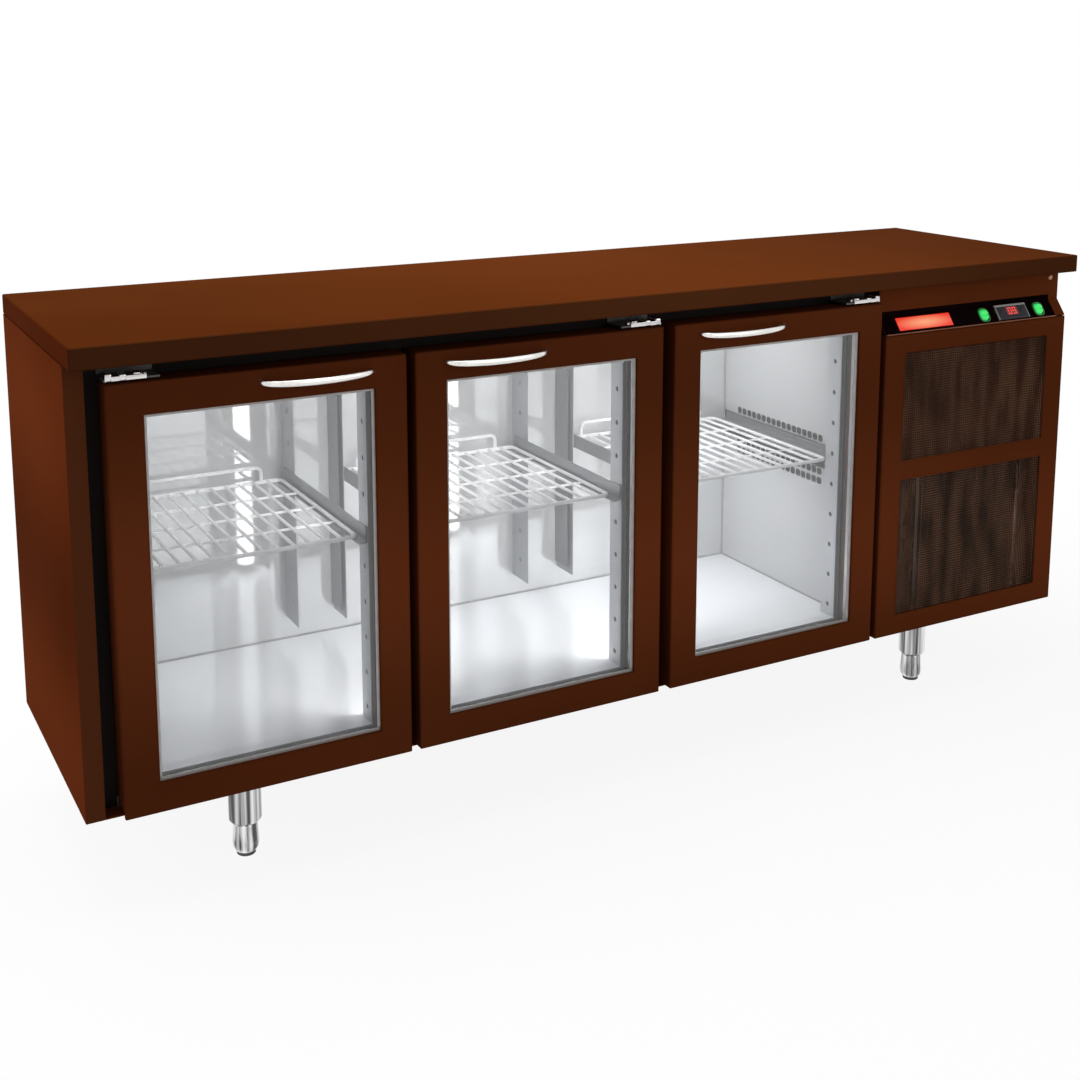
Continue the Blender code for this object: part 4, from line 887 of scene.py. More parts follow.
for number in (1, 2):
    low, high = span(f"lamp_{number}")
    radius = (high[0] - low[0]) / 2
    axis = ((low[0] + high[0]) / 2, (low[1] + high[1]) / 2, 0.0)
    glow_radius = radius - GLOW_TAKE_IN
    glow = turned([(0, low[2] + FOOT_CAP / 2), (glow_radius, low[2] + FOOT_CAP / 2),
                   (glow_radius, high[2] - HEAD_CAP / 2), (0, high[2] - HEAD_CAP / 2)], axis)
    put(f"lamp_{number}_diffuser", glow, lamp_glows[number - 1], slot="lamp_diffuser",
        stands_for=[f"lamp_{number}"])
    caps = []
    for end, reach in ((low[2], FOOT_CAP), (high[2], -HEAD_CAP)):
        line = rounded([(0, end), (radius, end), (radius, end + reach), (0, end + reach)], CAP_ROUND)
        caps.append(turned(line, axis))
    put(f"lamp_{number}_caps", gather(*caps), grey_moulding, slot="lamp_diffuser")


# %% [markdown]
# ## A strip with holes
# Sheet metal here is drilled and slotted in rows. Holes could be cut with a Boolean modifier, which leaves
# untidy faces. A strip can instead be a chain of cells, each a ring of faces between a hole and a rectangle.

# %% A strip with holes
def drilled(origin, across, along, width, cuts, centres, hole, power=2.0, steps=5):
    """A strip of cells, each with a hole: points run between the hole's edge and the cell's rectangle.
    The hole's edge is |x/a|^p + |y/b|^p = 1, a circle or slot by its half sizes a, b and the power p."""
    cuts, centres = np.asarray(cuts, float), np.asarray(centres, float)
    s = np.linspace(0, 1, steps, endpoint=False)
    unit = np.concatenate([np.stack([s, 0 * s], -1), np.stack([1 + 0 * s, s], -1),
                           np.stack([1 - s, 1 + 0 * s], -1), np.stack([0 * s, 1 - s], -1)])
    low, high = cuts[:-1, None], cuts[1:, None]
    edge = np.stack([np.broadcast_to(unit[None, :, 0] * width, (len(centres), len(unit))),
                     low + unit[None, :, 1] * (high - low)], -1)
    middle = np.stack([np.full(len(centres), width / 2), centres], -1)[:, None]
    way = edge - middle
    way /= np.linalg.norm(way, axis=-1, keepdims=True)
    reach = (np.abs(way / np.asarray(hole)) ** power).sum(-1, keepdims=True) ** (-1 / power)
    flat = np.stack([middle + way * reach, edge], 1)
    points = np.asarray(origin) + flat @ np.array((across, along), float)
    ring = grid_faces(2, len(unit), close_columns=True)
    faces = [[corner + cell * 2 * len(unit) for corner in face]
             for cell in range(len(centres)) for face in ring]
    return points, faces


def sheet(*corners):
    """One flat face between corners."""
    return np.array(corners, float), [list(range(len(corners)))]


hole = drilled((0, 0, 0), (1, 0, 0), (0, 1, 0), 1.0, [0.0, 1.0], [0.5], (0.2, 0.2))
print("a cell with one hole has", len(hole[1]), "faces")


# %% [markdown]
# ## Drilled posts
# On the back wall, between the bays, stand upright channels with rows of round holes for the shelf rails. Two
# drilled plates and a web make each, so the holes are real and the back wall shows through them; darker
# plates set inside each post paint a deeper shade behind the holes.

# %% Rear posts
PEG_PITCH = 0.0565
PEG_FIRST = 0.266
PEG_ROWS = (-4, 12)
PEG_RADIUS = 0.0045
PEG_MARGIN = PEG_PITCH / 3
POST_SHEET = 0.0015
POST_LINER = 0.005
POST_RECESS = 0.012
LINER_ROUND = 0.0004


def peg_levels(low, high):
    """Heights of the holes that fit between two heights, at the pitch that all posts share."""
    level = PEG_FIRST + PEG_PITCH * np.arange(*PEG_ROWS)
    return level[(level > low + PEG_MARGIN) & (level < high - PEG_MARGIN)]


def drilled_post(x, front, back, low, high):
    """One upright plate across the counter, drilled along its middle."""
    centres = peg_levels(low, high)
    cuts = np.concatenate([[low], (centres[1:] + centres[:-1]) / 2, [high]])
    return drilled((x, front, 0), (0, 1, 0), (0, 0, 1), back - front, cuts, centres, (PEG_RADIUS, PEG_RADIUS))


for number in (1, 2):
    node = f"rear_channel_{number}"
    low, high = span(node)
    half = POST_SHEET / 2
    plates = [drilled_post(x, low[1], high[1] - POST_SHEET, low[2], high[2])
              for x in (low[0] + half, high[0] - half)]
    back = high[1] - half
    web = sheet((low[0], back, low[2]), (high[0], back, low[2]), (high[0], back, high[2]),
                (low[0], back, high[2]))
    put(f"rear_post_{number}", gather(*plates), post_steel, stands_for=[node], sharp=FLAT, wall=POST_SHEET)
    put(f"rear_post_{number}_web", web, liner_steel, sharp=FLAT, wall=POST_SHEET)
    # Darker steel plates set inside each post paint a deeper shade behind its holes.
    shade_plates = [rounded_box((x, low[1] + POST_RECESS, low[2] + POST_RECESS),
                          (x + POST_SHEET, high[1] - 2 * POST_SHEET, high[2]), LINER_ROUND, 1)
              for x in (low[0] + POST_LINER, high[0] - POST_LINER - POST_SHEET)]
    put(f"rear_post_{number}_liners", gather(*shade_plates), rail_steel, sharp=CRISP)


# %% [markdown]
# ## Face frame
# The doors close against a frame plate that is made near-black, a painted shade for the shadowed gaps round
# the doors. Its openings have steel returns with the same rows of holes as the rear posts, and near-black
# baffles beside the returns paint the shade seen through their holes. The plate is a grid of cells with the
# three openings left out; the returns reuse the drilled strip.

# %% Frame plate and its drilled returns
FRAME_SHEET = 0.0015
SHELF_TO_OPENING = 0.0048
OPENING_FOOT = 0.188
OPENING_HEAD = 0.742
BAFFLE_GAP = 0.0055
BAFFLE_SHEET = 0.0005
RIM_WIDTH = 0.008
RIM_PROUD = 0.0001

SHELVES = [span(f"wire_shelf_{number}") for number in (1, 2, 3)]
OPENINGS = [(low[0] - SHELF_TO_OPENING, high[0] + SHELF_TO_OPENING) for low, high in SHELVES]


def plate_with_openings(low, high, y):
    """Upright plate: the grid of all break lines, without the cells that are openings."""
    lines = [low[0], *np.ravel(OPENINGS), high[0]]
    x, z = np.meshgrid(lines, [low[2], OPENING_FOOT, OPENING_HEAD, high[2]])
    points = np.stack([x, np.full(x.shape, y), z], -1)
    opened = {len(lines) - 1 + 2 * bay + 1 for bay in range(len(OPENINGS))}
    return points, [face for index, face in enumerate(grid_faces(*x.shape)) if index not in opened]


low, high = span("front_frame")
# The plate is near-black, a painted shade for the gaps round the doors.
put("frame_plate", plate_with_openings(low, high, low[1] + FRAME_SHEET / 2), dark_recess,
    stands_for=["front_frame"], sharp=FLAT, wall=FRAME_SHEET)
returns = []
for left, right in OPENINGS:
    for x in (left - FRAME_SHEET / 2, right + FRAME_SHEET / 2):
        returns.append(drilled_post(x, low[1] + FRAME_SHEET, high[1], OPENING_FOOT, OPENING_HEAD))
put("frame_returns", gather(*returns), return_steel, sharp=FLAT, wall=FRAME_SHEET)
# Near-black baffles beside the returns paint the shade seen through their holes.
shade_baffles = [rounded_box((x - BAFFLE_SHEET, low[1] + 2 * FRAME_SHEET, OPENING_FOOT),
                       (x + BAFFLE_SHEET, high[1], OPENING_HEAD), BAFFLE_SHEET / 2, 1)
           for left, right in OPENINGS for x in (left - BAFFLE_GAP, right + BAFFLE_GAP) if x > OPENINGS[0][0]]
put("frame_baffles", gather(*shade_baffles), dark_recess, sharp=CRISP)
depth = low[1] + np.array([-RIM_PROUD, -RIM_PROUD, FRAME_SHEET / 2, FRAME_SHEET / 2])
rims = [hoop((left - RIM_WIDTH, 0, OPENING_FOOT - RIM_WIDTH),
             (right + RIM_WIDTH, 0, OPENING_HEAD + RIM_WIDTH), [0, RIM_WIDTH, RIM_WIDTH, 0], depth)
        for left, right in OPENINGS]
put("frame_rims", gather(*rims), return_steel, sharp=CRISP)
print("openings:", np.round(OPENINGS, 4).tolist())


# %% [markdown]
# ## Evaporator cover
# The right wall of the cold space is a sheet with three rows of short slots, two under the shelf and one
# above it. Plain bands and slotted strips are laid edge to edge, and one thickness makes them a sheet.

# %% Slotted cover
SLOT_ROWS = ((0.412, 0.428), (0.430, 0.446), (0.4925, 0.5085))
SLOT_COUNT = 17
SLOT_HALF = (0.0070, 0.0066)
SLOT_MARGIN = 0.043
COVER_SHEET = 0.0015
SCREEN_GAP = 0.003
SCREEN_SHEET = 0.001
SCREEN_LAP = 0.006
SCREEN_ROUND = 0.0003
SLOT_POWER = 4.0
SLOT_STEPS = 3


def slotted_cover(low, high):
    """Bands between the rows, and rows of cells with a slot in each."""
    x = (low[0] + high[0]) / 2
    front, back = low[1] + SLOT_MARGIN, high[1] - SLOT_MARGIN
    cuts = np.linspace(front, back, SLOT_COUNT + 1)

    def band(start, end, bottom, top):
        """A plain rectangle of the cover."""
        return sheet((x, start, bottom), (x, end, bottom), (x, end, top), (x, start, top))

    edges = [low[2], *np.ravel(SLOT_ROWS), high[2]]
    shapes = [band(low[1], high[1], bottom, top) for bottom, top in zip(edges[::2], edges[1::2])]
    for bottom, top in SLOT_ROWS:
        shapes.append(drilled((x, 0, bottom), (0, 0, 1), (0, 1, 0), top - bottom, cuts,
                              (cuts[1:] + cuts[:-1]) / 2, SLOT_HALF[::-1], SLOT_POWER, SLOT_STEPS))
        shapes += [band(low[1], front, bottom, top), band(back, high[1], bottom, top)]
    return gather(*shapes)


low, high = span("evaporator_cover")
put("slotted_cover", slotted_cover(low, high), cover_steel, stands_for=["evaporator_cover"], sharp=FLAT,
    wall=COVER_SHEET)
# Near-black screens close behind the slots paint the shade seen through them.
screen_x, inset = high[0] + SCREEN_GAP, SLOT_MARGIN / 2
shade_screens = [rounded_box((screen_x, low[1] + inset, bottom - SCREEN_LAP),
                       (screen_x + SCREEN_SHEET, high[1] - inset, top + SCREEN_LAP), SCREEN_ROUND, 1)
           for bottom, top in SLOT_ROWS]
put("slot_screens", gather(*shade_screens), dark_recess, sharp=CRISP)


# %% [markdown]
# ## Sealed seams
# Where the liner's sheets meet, a bead of grey sealant fills the corner. It could be a chamfer on the CAD
# liner, but its colour is its own, so five straight round beads lie in the corners.

# %% Sealed seams of the cold space
SEAM_RADIUS = 0.0025
left, right = OPENINGS[0][0] - FRAME_SHEET, low[0]
front, back, foot, head = low[1], high[1], OPENING_FOOT, high[2]
corners = [((left, back, foot), (right, back, foot)), ((right, front, foot), (right, back, foot)),
           ((left, front, foot), (left, back, foot)), ((right, back, foot), (right, back, head)),
           ((left, back, foot), (left, back, head))]
starts, ends = zip(*corners)
put("liner_seams", wires(starts, ends, SEAM_RADIUS, 10), seam_grey)


# %% [markdown]
# ## Legs
# Each leg is a turned chrome tube on a flange, with a screw foot that narrows, swells and tucks in to a
# rubber toe. A turned profile with its corners rounded makes each of these in one go.

# %% Legs and feet
TUBE_RADIUS = 0.025
FLANGE_RADIUS = 0.036
FLANGE = 0.005
FLANGE_FILLET = (0.002, 0.004)
TUBE_CHAMFER = (0.004, 0.006)
TUBE_LIP = 0.0006
STEM_RADIUS = 0.0098
STEM_PLAY = 0.0004
STEM_HEADROOM = 0.001
FOOT_GAP = 0.0003
NECK_RADIUS = 0.0185
NECK_DROP = 0.008
BULB_RADIUS = 0.0205
BULB_LEVELS = (0.020, 0.012)
BULB_TAPER = 0.001
TOE_RADIUS = 0.0145
TOE_BAND = 0.004
TUBE_ROUND = (0.0012, 3)
BULB_ROUND = (0.003, 4)
LEG_STEPS = 64
TOE_STEPS = 48

for corner in ("front_left", "front_right", "rear_left", "rear_right"):
    foot = f"foot_{corner}"
    low, high = span(f"leg_{corner}")
    sole, stem_top = (level[2] for level in span(foot))
    axis = (*((low + high) / 2)[:2], 0.0)
    head, end = high[2] - FLANGE, low[2]
    bore, bore_top = STEM_RADIUS + STEM_PLAY, stem_top + STEM_HEADROOM
    line = rounded([(0, high[2]), (FLANGE_RADIUS, high[2]), (FLANGE_RADIUS, head),
                    (TUBE_RADIUS + FLANGE_FILLET[0], head), (TUBE_RADIUS, head - FLANGE_FILLET[1]),
                    (TUBE_RADIUS, end + TUBE_CHAMFER[1]), (TUBE_RADIUS - TUBE_CHAMFER[0], end + TUBE_LIP),
                    (bore, end), (bore, bore_top), (0, bore_top)], *TUBE_ROUND)
    put(f"leg_{corner}_tube", turned(line, axis, steps=LEG_STEPS), leg_chrome, slot="chrome",
        stands_for=[f"leg_{corner}"])
    shoulder, toe = end - FOOT_GAP, sole + TOE_BAND
    line = rounded([(0, stem_top), (STEM_RADIUS, stem_top), (STEM_RADIUS, shoulder), (NECK_RADIUS, shoulder),
                    (NECK_RADIUS, shoulder - NECK_DROP), (BULB_RADIUS, sole + BULB_LEVELS[0]),
                    (BULB_RADIUS - BULB_TAPER, sole + BULB_LEVELS[1]), (TOE_RADIUS, toe),
                    (0, toe)], *BULB_ROUND)
    put(f"{foot}_bulb", turned(line, axis, steps=LEG_STEPS), leg_chrome, foot, "chrome", [foot])
    line = rounded([(0, toe), (TOE_RADIUS, toe), (TOE_RADIUS, sole), (0, sole)], *TUBE_ROUND)
    put(f"{foot}_toe", turned(line, axis, steps=TOE_STEPS), seal_rubber, foot, "chrome")


# %% [markdown]
# ## Top hinges
# Above each door's hinge edge sits a chrome bracket: a plate over the door with a rounded lip, a domed
# pivot cap, a back leaf on the face frame, and two screws in slots. Rounded boxes and small turned shapes
# are gathered into one piece.

# %% Chrome brackets over the doors
HINGE_PLATE = 0.004
HINGE_LIFT = 0.002
HINGE_LIP = 0.0035
HINGE_LIP_HEIGHT = 0.0035
HINGE_LEAF = 0.003
HINGE_LIP_END = 0.058
HINGE_BLOCKS = ((0.002, 0.012, 0.0120, 0.0030), (0.021, 0.031, 0.0100, 0.0026))
HINGE_LIP_START = 0.002
LIP_SET = 0.0008
HINGE_ROUND = 0.0012
LEAF_ROUND = 0.0010
DOME_SET = 0.012
HOLE_SET = 0.010
DOME_STEPS = 28
PIN_STEPS = 24
PIN_RADIUS = 0.004
DOME_PROFILE = ((0.0, 0.0075), (0.0040, 0.0068), (0.0062, 0.0045), (0.0068, 0.0), (0.0, 0.0))
SCREW_PROFILE = ((0.0, 0.0050), (0.0026, 0.0045), (0.0038, 0.0028), (0.0042, 0.0), (0.0, 0.0))
HOLE_PROFILE = ((0.0, 0.0004), (0.0040, 0.0004), (0.0040, -0.002), (0.0, -0.002))
HINGE_HOLES = (0.0155, 0.0370)
HINGE_DOMES = ((0.046, DOME_PROFILE), (0.056, SCREW_PROFILE))


def bracket(number):
    """Bright lip, blocks and domes of one door's top hinge; its dull plate, leaf and pin; and near-black
    plugs in its holes, which paint their shade.
    """
    low, high = span(f"top_hinge_{number}")
    pin = JOINTS[f"door_{number}_hinge"]["pos_m"]
    inward = 1 if pin[0] - low[0] < high[0] - pin[0] else -1
    end = low[0] if inward > 0 else high[0]
    base = span(f"door_{number}_frame")[1][2] + HINGE_LIFT
    top = base + HINGE_PLATE
    middle = (low[1] + high[1]) / 2

    def block(start, stop, y0, y1, z1, radius):
        """A rounded block between two distances from the plate's outer end."""
        first, second = sorted((end + inward * start, end + inward * stop))
        return rounded_box((first, y0, base), (second, y1, z1), radius)

    length = high[0] - low[0]
    plate = [block(0, length, low[1] + HINGE_LIP / 2, high[1], top, HINGE_ROUND),
             block(0, length, high[1] - HINGE_LEAF, high[1], high[2], LEAF_ROUND),
             turned([(0, low[2]), (PIN_RADIUS, low[2]), (PIN_RADIUS, base), (0, base)], (pin[0], pin[1], 0),
                    steps=PIN_STEPS)]
    shapes = [block(HINGE_LIP_START, HINGE_LIP_END, low[1] + LIP_SET, low[1] + HINGE_LIP,
                    top + HINGE_LIP_HEIGHT, HINGE_ROUND)]
    shapes += [block(start, stop, low[1], middle, base + rise, edge)
               for start, stop, rise, edge in HINGE_BLOCKS]
    shapes += [turned(profile, (end + inward * reach, low[1] + DOME_SET, top), steps=DOME_STEPS)
               for reach, profile in HINGE_DOMES]
    # Near-black plugs in the two holes paint the shade inside them.
    holes = [turned(HOLE_PROFILE, (end + inward * reach, low[1] + HOLE_SET, top), steps=PIN_STEPS)
             for reach in HINGE_HOLES]
    return gather(*shapes), gather(*plate), gather(*holes)


for number in (1, 2, 3):
    metal, plate, holes = bracket(number)
    put(f"top_bracket_{number}", metal, bright_chrome, slot="chrome", stands_for=[f"top_hinge_{number}"],
        sharp=CRISP)
    put(f"top_bracket_{number}_plate", plate, hinge_zinc, slot="chrome", sharp=CRISP)
    put(f"top_bracket_{number}_holes", holes, dark_recess, slot="chrome", sharp=CRISP)


# %% [markdown]
# ## Grille mesh
# Behind the two windows of the grille is a fine dark wire mesh. A few hundred straight wires, half of them
# upright and half level, lie in two layers that touch.

# %% Mesh behind the windows
MESH_PITCH = 0.0046
MESH_WIRE = 0.00048
MESH_SIDES = 6
MESH_SHARP = 80.0


def mesh_shape(low, high):
    """Upright wires in the front layer and level wires in the back layer."""
    x = np.arange(low[0] + MESH_WIRE, high[0], MESH_PITCH)
    z = np.arange(low[2] + MESH_WIRE, high[2], MESH_PITCH)
    front, back = low[1] + MESH_WIRE, high[1] - MESH_WIRE
    upright = wires(np.stack([x, 0 * x + front, 0 * x + low[2]], -1),
                    np.stack([x, 0 * x + front, 0 * x + high[2]], -1), MESH_WIRE, MESH_SIDES)
    level = wires(np.stack([0 * z + low[0], 0 * z + back, z], -1),
                  np.stack([0 * z + high[0], 0 * z + back, z], -1), MESH_WIRE, MESH_SIDES)
    return gather(upright, level)


put("wire_mesh", mesh_shape(*span("grille_mesh")), mesh_bronze, slot="mesh_metal", stands_for=["grille_mesh"],
    sharp=MESH_SHARP)


# %% [markdown]
# ## Control panel
# The folded panel's sloping face has a black film with a lit plate, two green rockers and a thermostat.
# All of them are laid out in the slope's own axes: along the counter, up the slope, and out from it.

# %% The slope's own axes
SLOPE_MIDDLE = np.array(JOINTS["power_switch_rocker"]["pos_m"])
SLOPE_UP = np.array((0.0, 0.5917, 0.8061))
SLOPE_OUT = np.array((0.0, -0.8061, 0.5917))
SLOPE_HALF = 0.0170
FASCIA_SET = 0.01035


def on_slope(shape, across):
    """Turn a shape from (along, up, out) into the counter's axes, at a place along the counter."""
    points, faces = shape
    turn = np.stack([np.array((1.0, 0, 0)), SLOPE_UP, SLOPE_OUT])
    return np.reshape(points, (-1, 3)) @ turn + np.array((across, *SLOPE_MIDDLE[1:])), faces


panel_low, panel_high = span("control_panel")
power_x, light_x = (JOINTS[f"{switch}_rocker"]["pos_m"][0] for switch in ("power_switch", "light_switch"))
thermo_x = sum(corner[0] for corner in span("thermostat")) / 2
print("switches at", round(power_x, 4), "and", round(light_x, 4), "thermostat at", round(thermo_x, 4))


# %% [markdown]
# ## Film
# A glossy black film covers the slope between the switches. One sheet with holes would need a Boolean cut; a
# row of thin tiles leaves the same places free, and one more tile wraps it up the fascia.

# %% Film
FILM_SHEET = 0.0004
FILM_ROUND = 0.0001
FILM_MARGINS = (0.0005, 0.024)
FILM_WRAP = 0.0100
SWITCH_HALF = (0.0101, 0.0116)
THERMO_HALF = (0.0388, 0.0150)
film_left, film_right = panel_low[0] + FILM_MARGINS[0], panel_high[0] - FILM_MARGINS[1]


def film_shape():
    """A row of tiles that leaves the switches and the thermostat free, and the film's wrap above them."""
    tiles = []
    left = film_left
    for middle, half in ((power_x, SWITCH_HALF), (thermo_x, THERMO_HALF), (light_x, SWITCH_HALF)):
        start, end = middle - half[0], middle + half[0]
        tiles.append(((left, -SLOPE_HALF), (start, SLOPE_HALF)))
        tiles.append(((start, half[1]), (end, SLOPE_HALF)))
        tiles.append(((start, -SLOPE_HALF), (end, -half[1])))
        left = end
    tiles.append(((left, -SLOPE_HALF), (film_right, SLOPE_HALF)))
    fascia, fold = SLOPE_MIDDLE[1] + FASCIA_SET, SLOPE_MIDDLE[2] + SLOPE_HALF * SLOPE_UP[2]
    wrap = rounded_box((film_left, fascia - FILM_SHEET, fold), (film_right, fascia, fold + FILM_WRAP),
                       FILM_ROUND, 1)
    boxes = [rounded_box((*low, 0.0), (*high, FILM_SHEET), FILM_ROUND, 1) for low, high in tiles]
    return gather(wrap, *(on_slope(box, 0.0) for box in boxes))


put("control_film", film_shape(), black_film, slot="black_plastic", sharp=CRISP)


# %% [markdown]
# ## Lit plate
# The red plate at the left of the panel is lit from behind and brightest in its middle. A lamp behind a
# clear plate would do it; a glow that fades with the distance from the middle is simpler and looks the same.

# %% Lit plate
PLATE_REACH = (0.034, 0.160)
PLATE_HALF = 0.0125
PLATE_THICKNESS = 0.0026
PLATE_ROUND = 0.0011
PLATE_GLOW_REACH = (0.066, 0.016, 0.0125)
PLATE_FADE = (0.15, 1.05)
PLATE_WARM = (1.0, 0.44, 0.21, 1.0)
PLATE_RED = (0.90, 0.030, 0.008, 1.0)


def glow_from(material, middle, reach, warm, edge):
    """A glow that goes from a warm middle to a deep edge with the distance (p - middle) / reach."""
    tree, shader = shader_of(material)
    off = add(tree, "VectorMath", {"operation": "SUBTRACT"}, (place_on(tree), middle)).outputs["Vector"]
    scaled = add(tree, "VectorMath", {"operation": "DIVIDE"}, (off, reach)).outputs["Vector"]
    far = add(tree, "VectorMath", {"operation": "LENGTH"}, (scaled,)).outputs["Value"]
    feed(tree, colour_mix(tree, ranged(tree, far, *PLATE_FADE), warm, edge), shader["Emission Color"])


plate = rounded_box((PLATE_REACH[0], -PLATE_HALF, FILM_SHEET), (PLATE_REACH[1], PLATE_HALF, PLATE_THICKNESS),
                    PLATE_ROUND)
plate_x = panel_low[0] + sum(PLATE_REACH) / 2
glow_from(red_lens, (plate_x, *SLOPE_MIDDLE[1:]), PLATE_GLOW_REACH, PLATE_WARM, PLATE_RED)
put("lit_plate", on_slope(plate, panel_low[0]), red_lens, slot="black_plastic", sharp=CRISP)


# %% [markdown]
# ## Painted highlight on the fold
# Under the film the panel's sheet is folded back, and the fold catches the light as a thin pale line. A slim
# rounded bar in a pale enamel along the slope's foot paints that highlight.

# %% Painted highlight on the fold under the film
FOLD_HALF = 0.0012
FOLD_MARGIN = 0.001
fold = rounded_box((panel_low[0] + FOLD_MARGIN, -SLOPE_HALF - 2 * FOLD_HALF, 0.0),
                   (film_right, -SLOPE_HALF, 2 * FOLD_HALF), FOLD_HALF)
put("panel_fold", on_slope(fold, 0.0), fold_enamel, slot="brown_paint")


# %% [markdown]
# ## Rockers
# Each switch is a lit cap with two lobes in an oval bezel. The cap could be cut from a cylinder, but its
# lobes and rounded corners follow from one height formula over a square grid.

# %% Rockers
LOBE_POWER = 0.6
CROWN_FALL = ((0.35, 4), (0.3, 12))
ROCKER_HALF = (0.0093, 0.0106)
ROCKER_LOBES = 0.0046
ROCKER_VALLEY = 0.0010
ROCKER_ROOT = -0.0055
ROCKER_TILT = radians(8)
ROCKER_GRID = 25
ROCKER_CORNER = 0.40
RIM_POWER = 3.0
RIM_PROFILE = ((0.0026, FILM_SHEET), (0.0025, 0.0012), (0.0018, 0.0020), (0.0008, 0.0022), (0.0001, 0.0018),
               (0.0, FILM_SHEET))
RIM_STEPS = 48
RIM_SHARP = 50.0


def rocker_shape():
    """Cap height valley + (lobes - valley) * sin(pi |v|)^p over a rounded square, falling to its edges, with
    walls down to its root. Corners are drawn in by x = u sqrt(1 - k v^2), y = v sqrt(1 - k u^2)."""
    u, v = np.meshgrid(np.linspace(-1, 1, ROCKER_GRID), np.linspace(-1, 1, ROCKER_GRID))
    lift = ROCKER_VALLEY + (ROCKER_LOBES - ROCKER_VALLEY) * np.sin(np.pi * np.abs(v)) ** LOBE_POWER
    (fall_u, power_u), (fall_v, power_v) = CROWN_FALL
    crown = lift * (1 - fall_u * u ** power_u) * (1 - fall_v * v ** power_v)
    top = np.stack([u * np.sqrt(1 - ROCKER_CORNER * v ** 2) * ROCKER_HALF[0],
                    v * np.sqrt(1 - ROCKER_CORNER * u ** 2) * ROCKER_HALF[1], crown], -1)
    rim = np.concatenate([top[0, :-1], top[:-1, -1], top[-1, :0:-1], top[:0:-1, 0]])
    root = rim * np.array((1, 1, 0)) + np.array((0, 0, ROCKER_ROOT))
    walls = np.stack([rim, root])
    sides = (walls, grid_faces(2, len(rim), close_columns=True) + [[len(rim) + i for i in range(len(rim))]])
    points, faces = gather((top, grid_faces(ROCKER_GRID, ROCKER_GRID)), sides)
    tilt = np.array(((1, 0, 0), (0, np.cos(ROCKER_TILT), np.sin(ROCKER_TILT)),
                     (0, -np.sin(ROCKER_TILT), np.cos(ROCKER_TILT))))
    return points @ tilt, faces


def oval_rim():
    """A closed outline of (half size, height) points round ovals |x/a|^p + |y/b|^p = 1 of those sizes."""
    way = circle(1.0, RIM_STEPS)
    oval = np.sign(way) * np.abs(way) ** (2 / RIM_POWER)
    grow, height = np.array(RIM_PROFILE).T
    half = np.array(SWITCH_HALF)[None] + grow[:, None]
    flat = half[:, None] * oval[None]
    points = np.concatenate([flat, np.broadcast_to(height[:, None, None], (*flat.shape[:2], 1))], -1)
    return points, grid_faces(len(grow), RIM_STEPS, close_rows=True, close_columns=True)


for switch, across in (("power_switch", power_x), ("light_switch", light_x)):
    put(f"{switch}_rocker_cap", on_slope(rocker_shape(), across), green_lens, switch, "green_plastic",
        [switch])
    put(f"{switch}_bezel", on_slope(oval_rim(), across), green_rim, slot="green_plastic", sharp=RIM_SHARP)


# %% [markdown]
# ## Thermostat
# The thermostat is a moulded bezel with a pale strip along its top, a painted highlight on its top edge, a
# dark face, a red window with two digits, and two round keys. Rounded boxes stacked out from the slope make
# all but the keys, which are turned.

# %% Thermostat
BEZEL_HALF = (0.039, 0.015)
BEZEL_TOP = 0.0042
BEZEL_ROUND = 0.0014
HIGHLIGHT_WIDTH = 0.0044
HIGHLIGHT_PROUD = 0.0008
EDGE_WIDTH = 0.0034
EDGE_PROUD = 0.0005
EDGE_ROUND = 0.0012
FACE_INSET = 0.004
FACE_SINK = 0.001
FACE_PROUD = 0.0003
WINDOW_LOW = (-0.0140, -0.0070)
WINDOW_HIGH = (0.0140, 0.0090)
WINDOW_TOP = BEZEL_TOP + 0.0004
FINE_ROUND = 0.0002


def on_thermostat(name, material, *shapes, **options):
    """A piece of the thermostat, from shapes in the slope's axes about its middle."""
    put(name, on_slope(gather(*shapes), thermo_x), material, slot="black_plastic", sharp=CRISP, **options)


(wide, tall), highlight_foot = BEZEL_HALF, BEZEL_HALF[1] - HIGHLIGHT_WIDTH
bezel = rounded_box((-wide, -tall, FILM_SHEET), (wide, tall, BEZEL_TOP), BEZEL_ROUND)
on_thermostat("thermostat_bezel", dark_moulding, bezel, stands_for=["thermostat"])
# The pale strip along the top is a painted highlight on the bezel's top edge.
top_highlight = rounded_box((-wide, highlight_foot, FILM_SHEET), (wide, tall, BEZEL_TOP + HIGHLIGHT_PROUD), BEZEL_ROUND)
on_thermostat("thermostat_trim", pale_moulding, top_highlight)
edges = [rounded_box((x, -tall, FILM_SHEET), (x + EDGE_WIDTH, highlight_foot, BEZEL_TOP + EDGE_PROUD), EDGE_ROUND)
         for x in (-wide, wide - EDGE_WIDTH)]
on_thermostat("thermostat_edges", grey_moulding, *edges)
face = rounded_box((-wide + FACE_INSET, -tall + FACE_INSET, BEZEL_TOP - FACE_SINK),
                   (wide - FACE_INSET, tall - FACE_INSET, BEZEL_TOP + FACE_PROUD), FACE_PROUD, 2)
on_thermostat("thermostat_face", display_glass, face)
window = rounded_box((*WINDOW_LOW, BEZEL_TOP), (*WINDOW_HIGH, WINDOW_TOP), FINE_ROUND, 1)
on_thermostat("thermostat_window", red_window, window)


# %% [markdown]
# ## Digits and keys
# The display shows two generic digits of seven bars each. A font could draw them, but bars are what such a
# display has, so each letter of the usual naming, a to g, is one small bar.

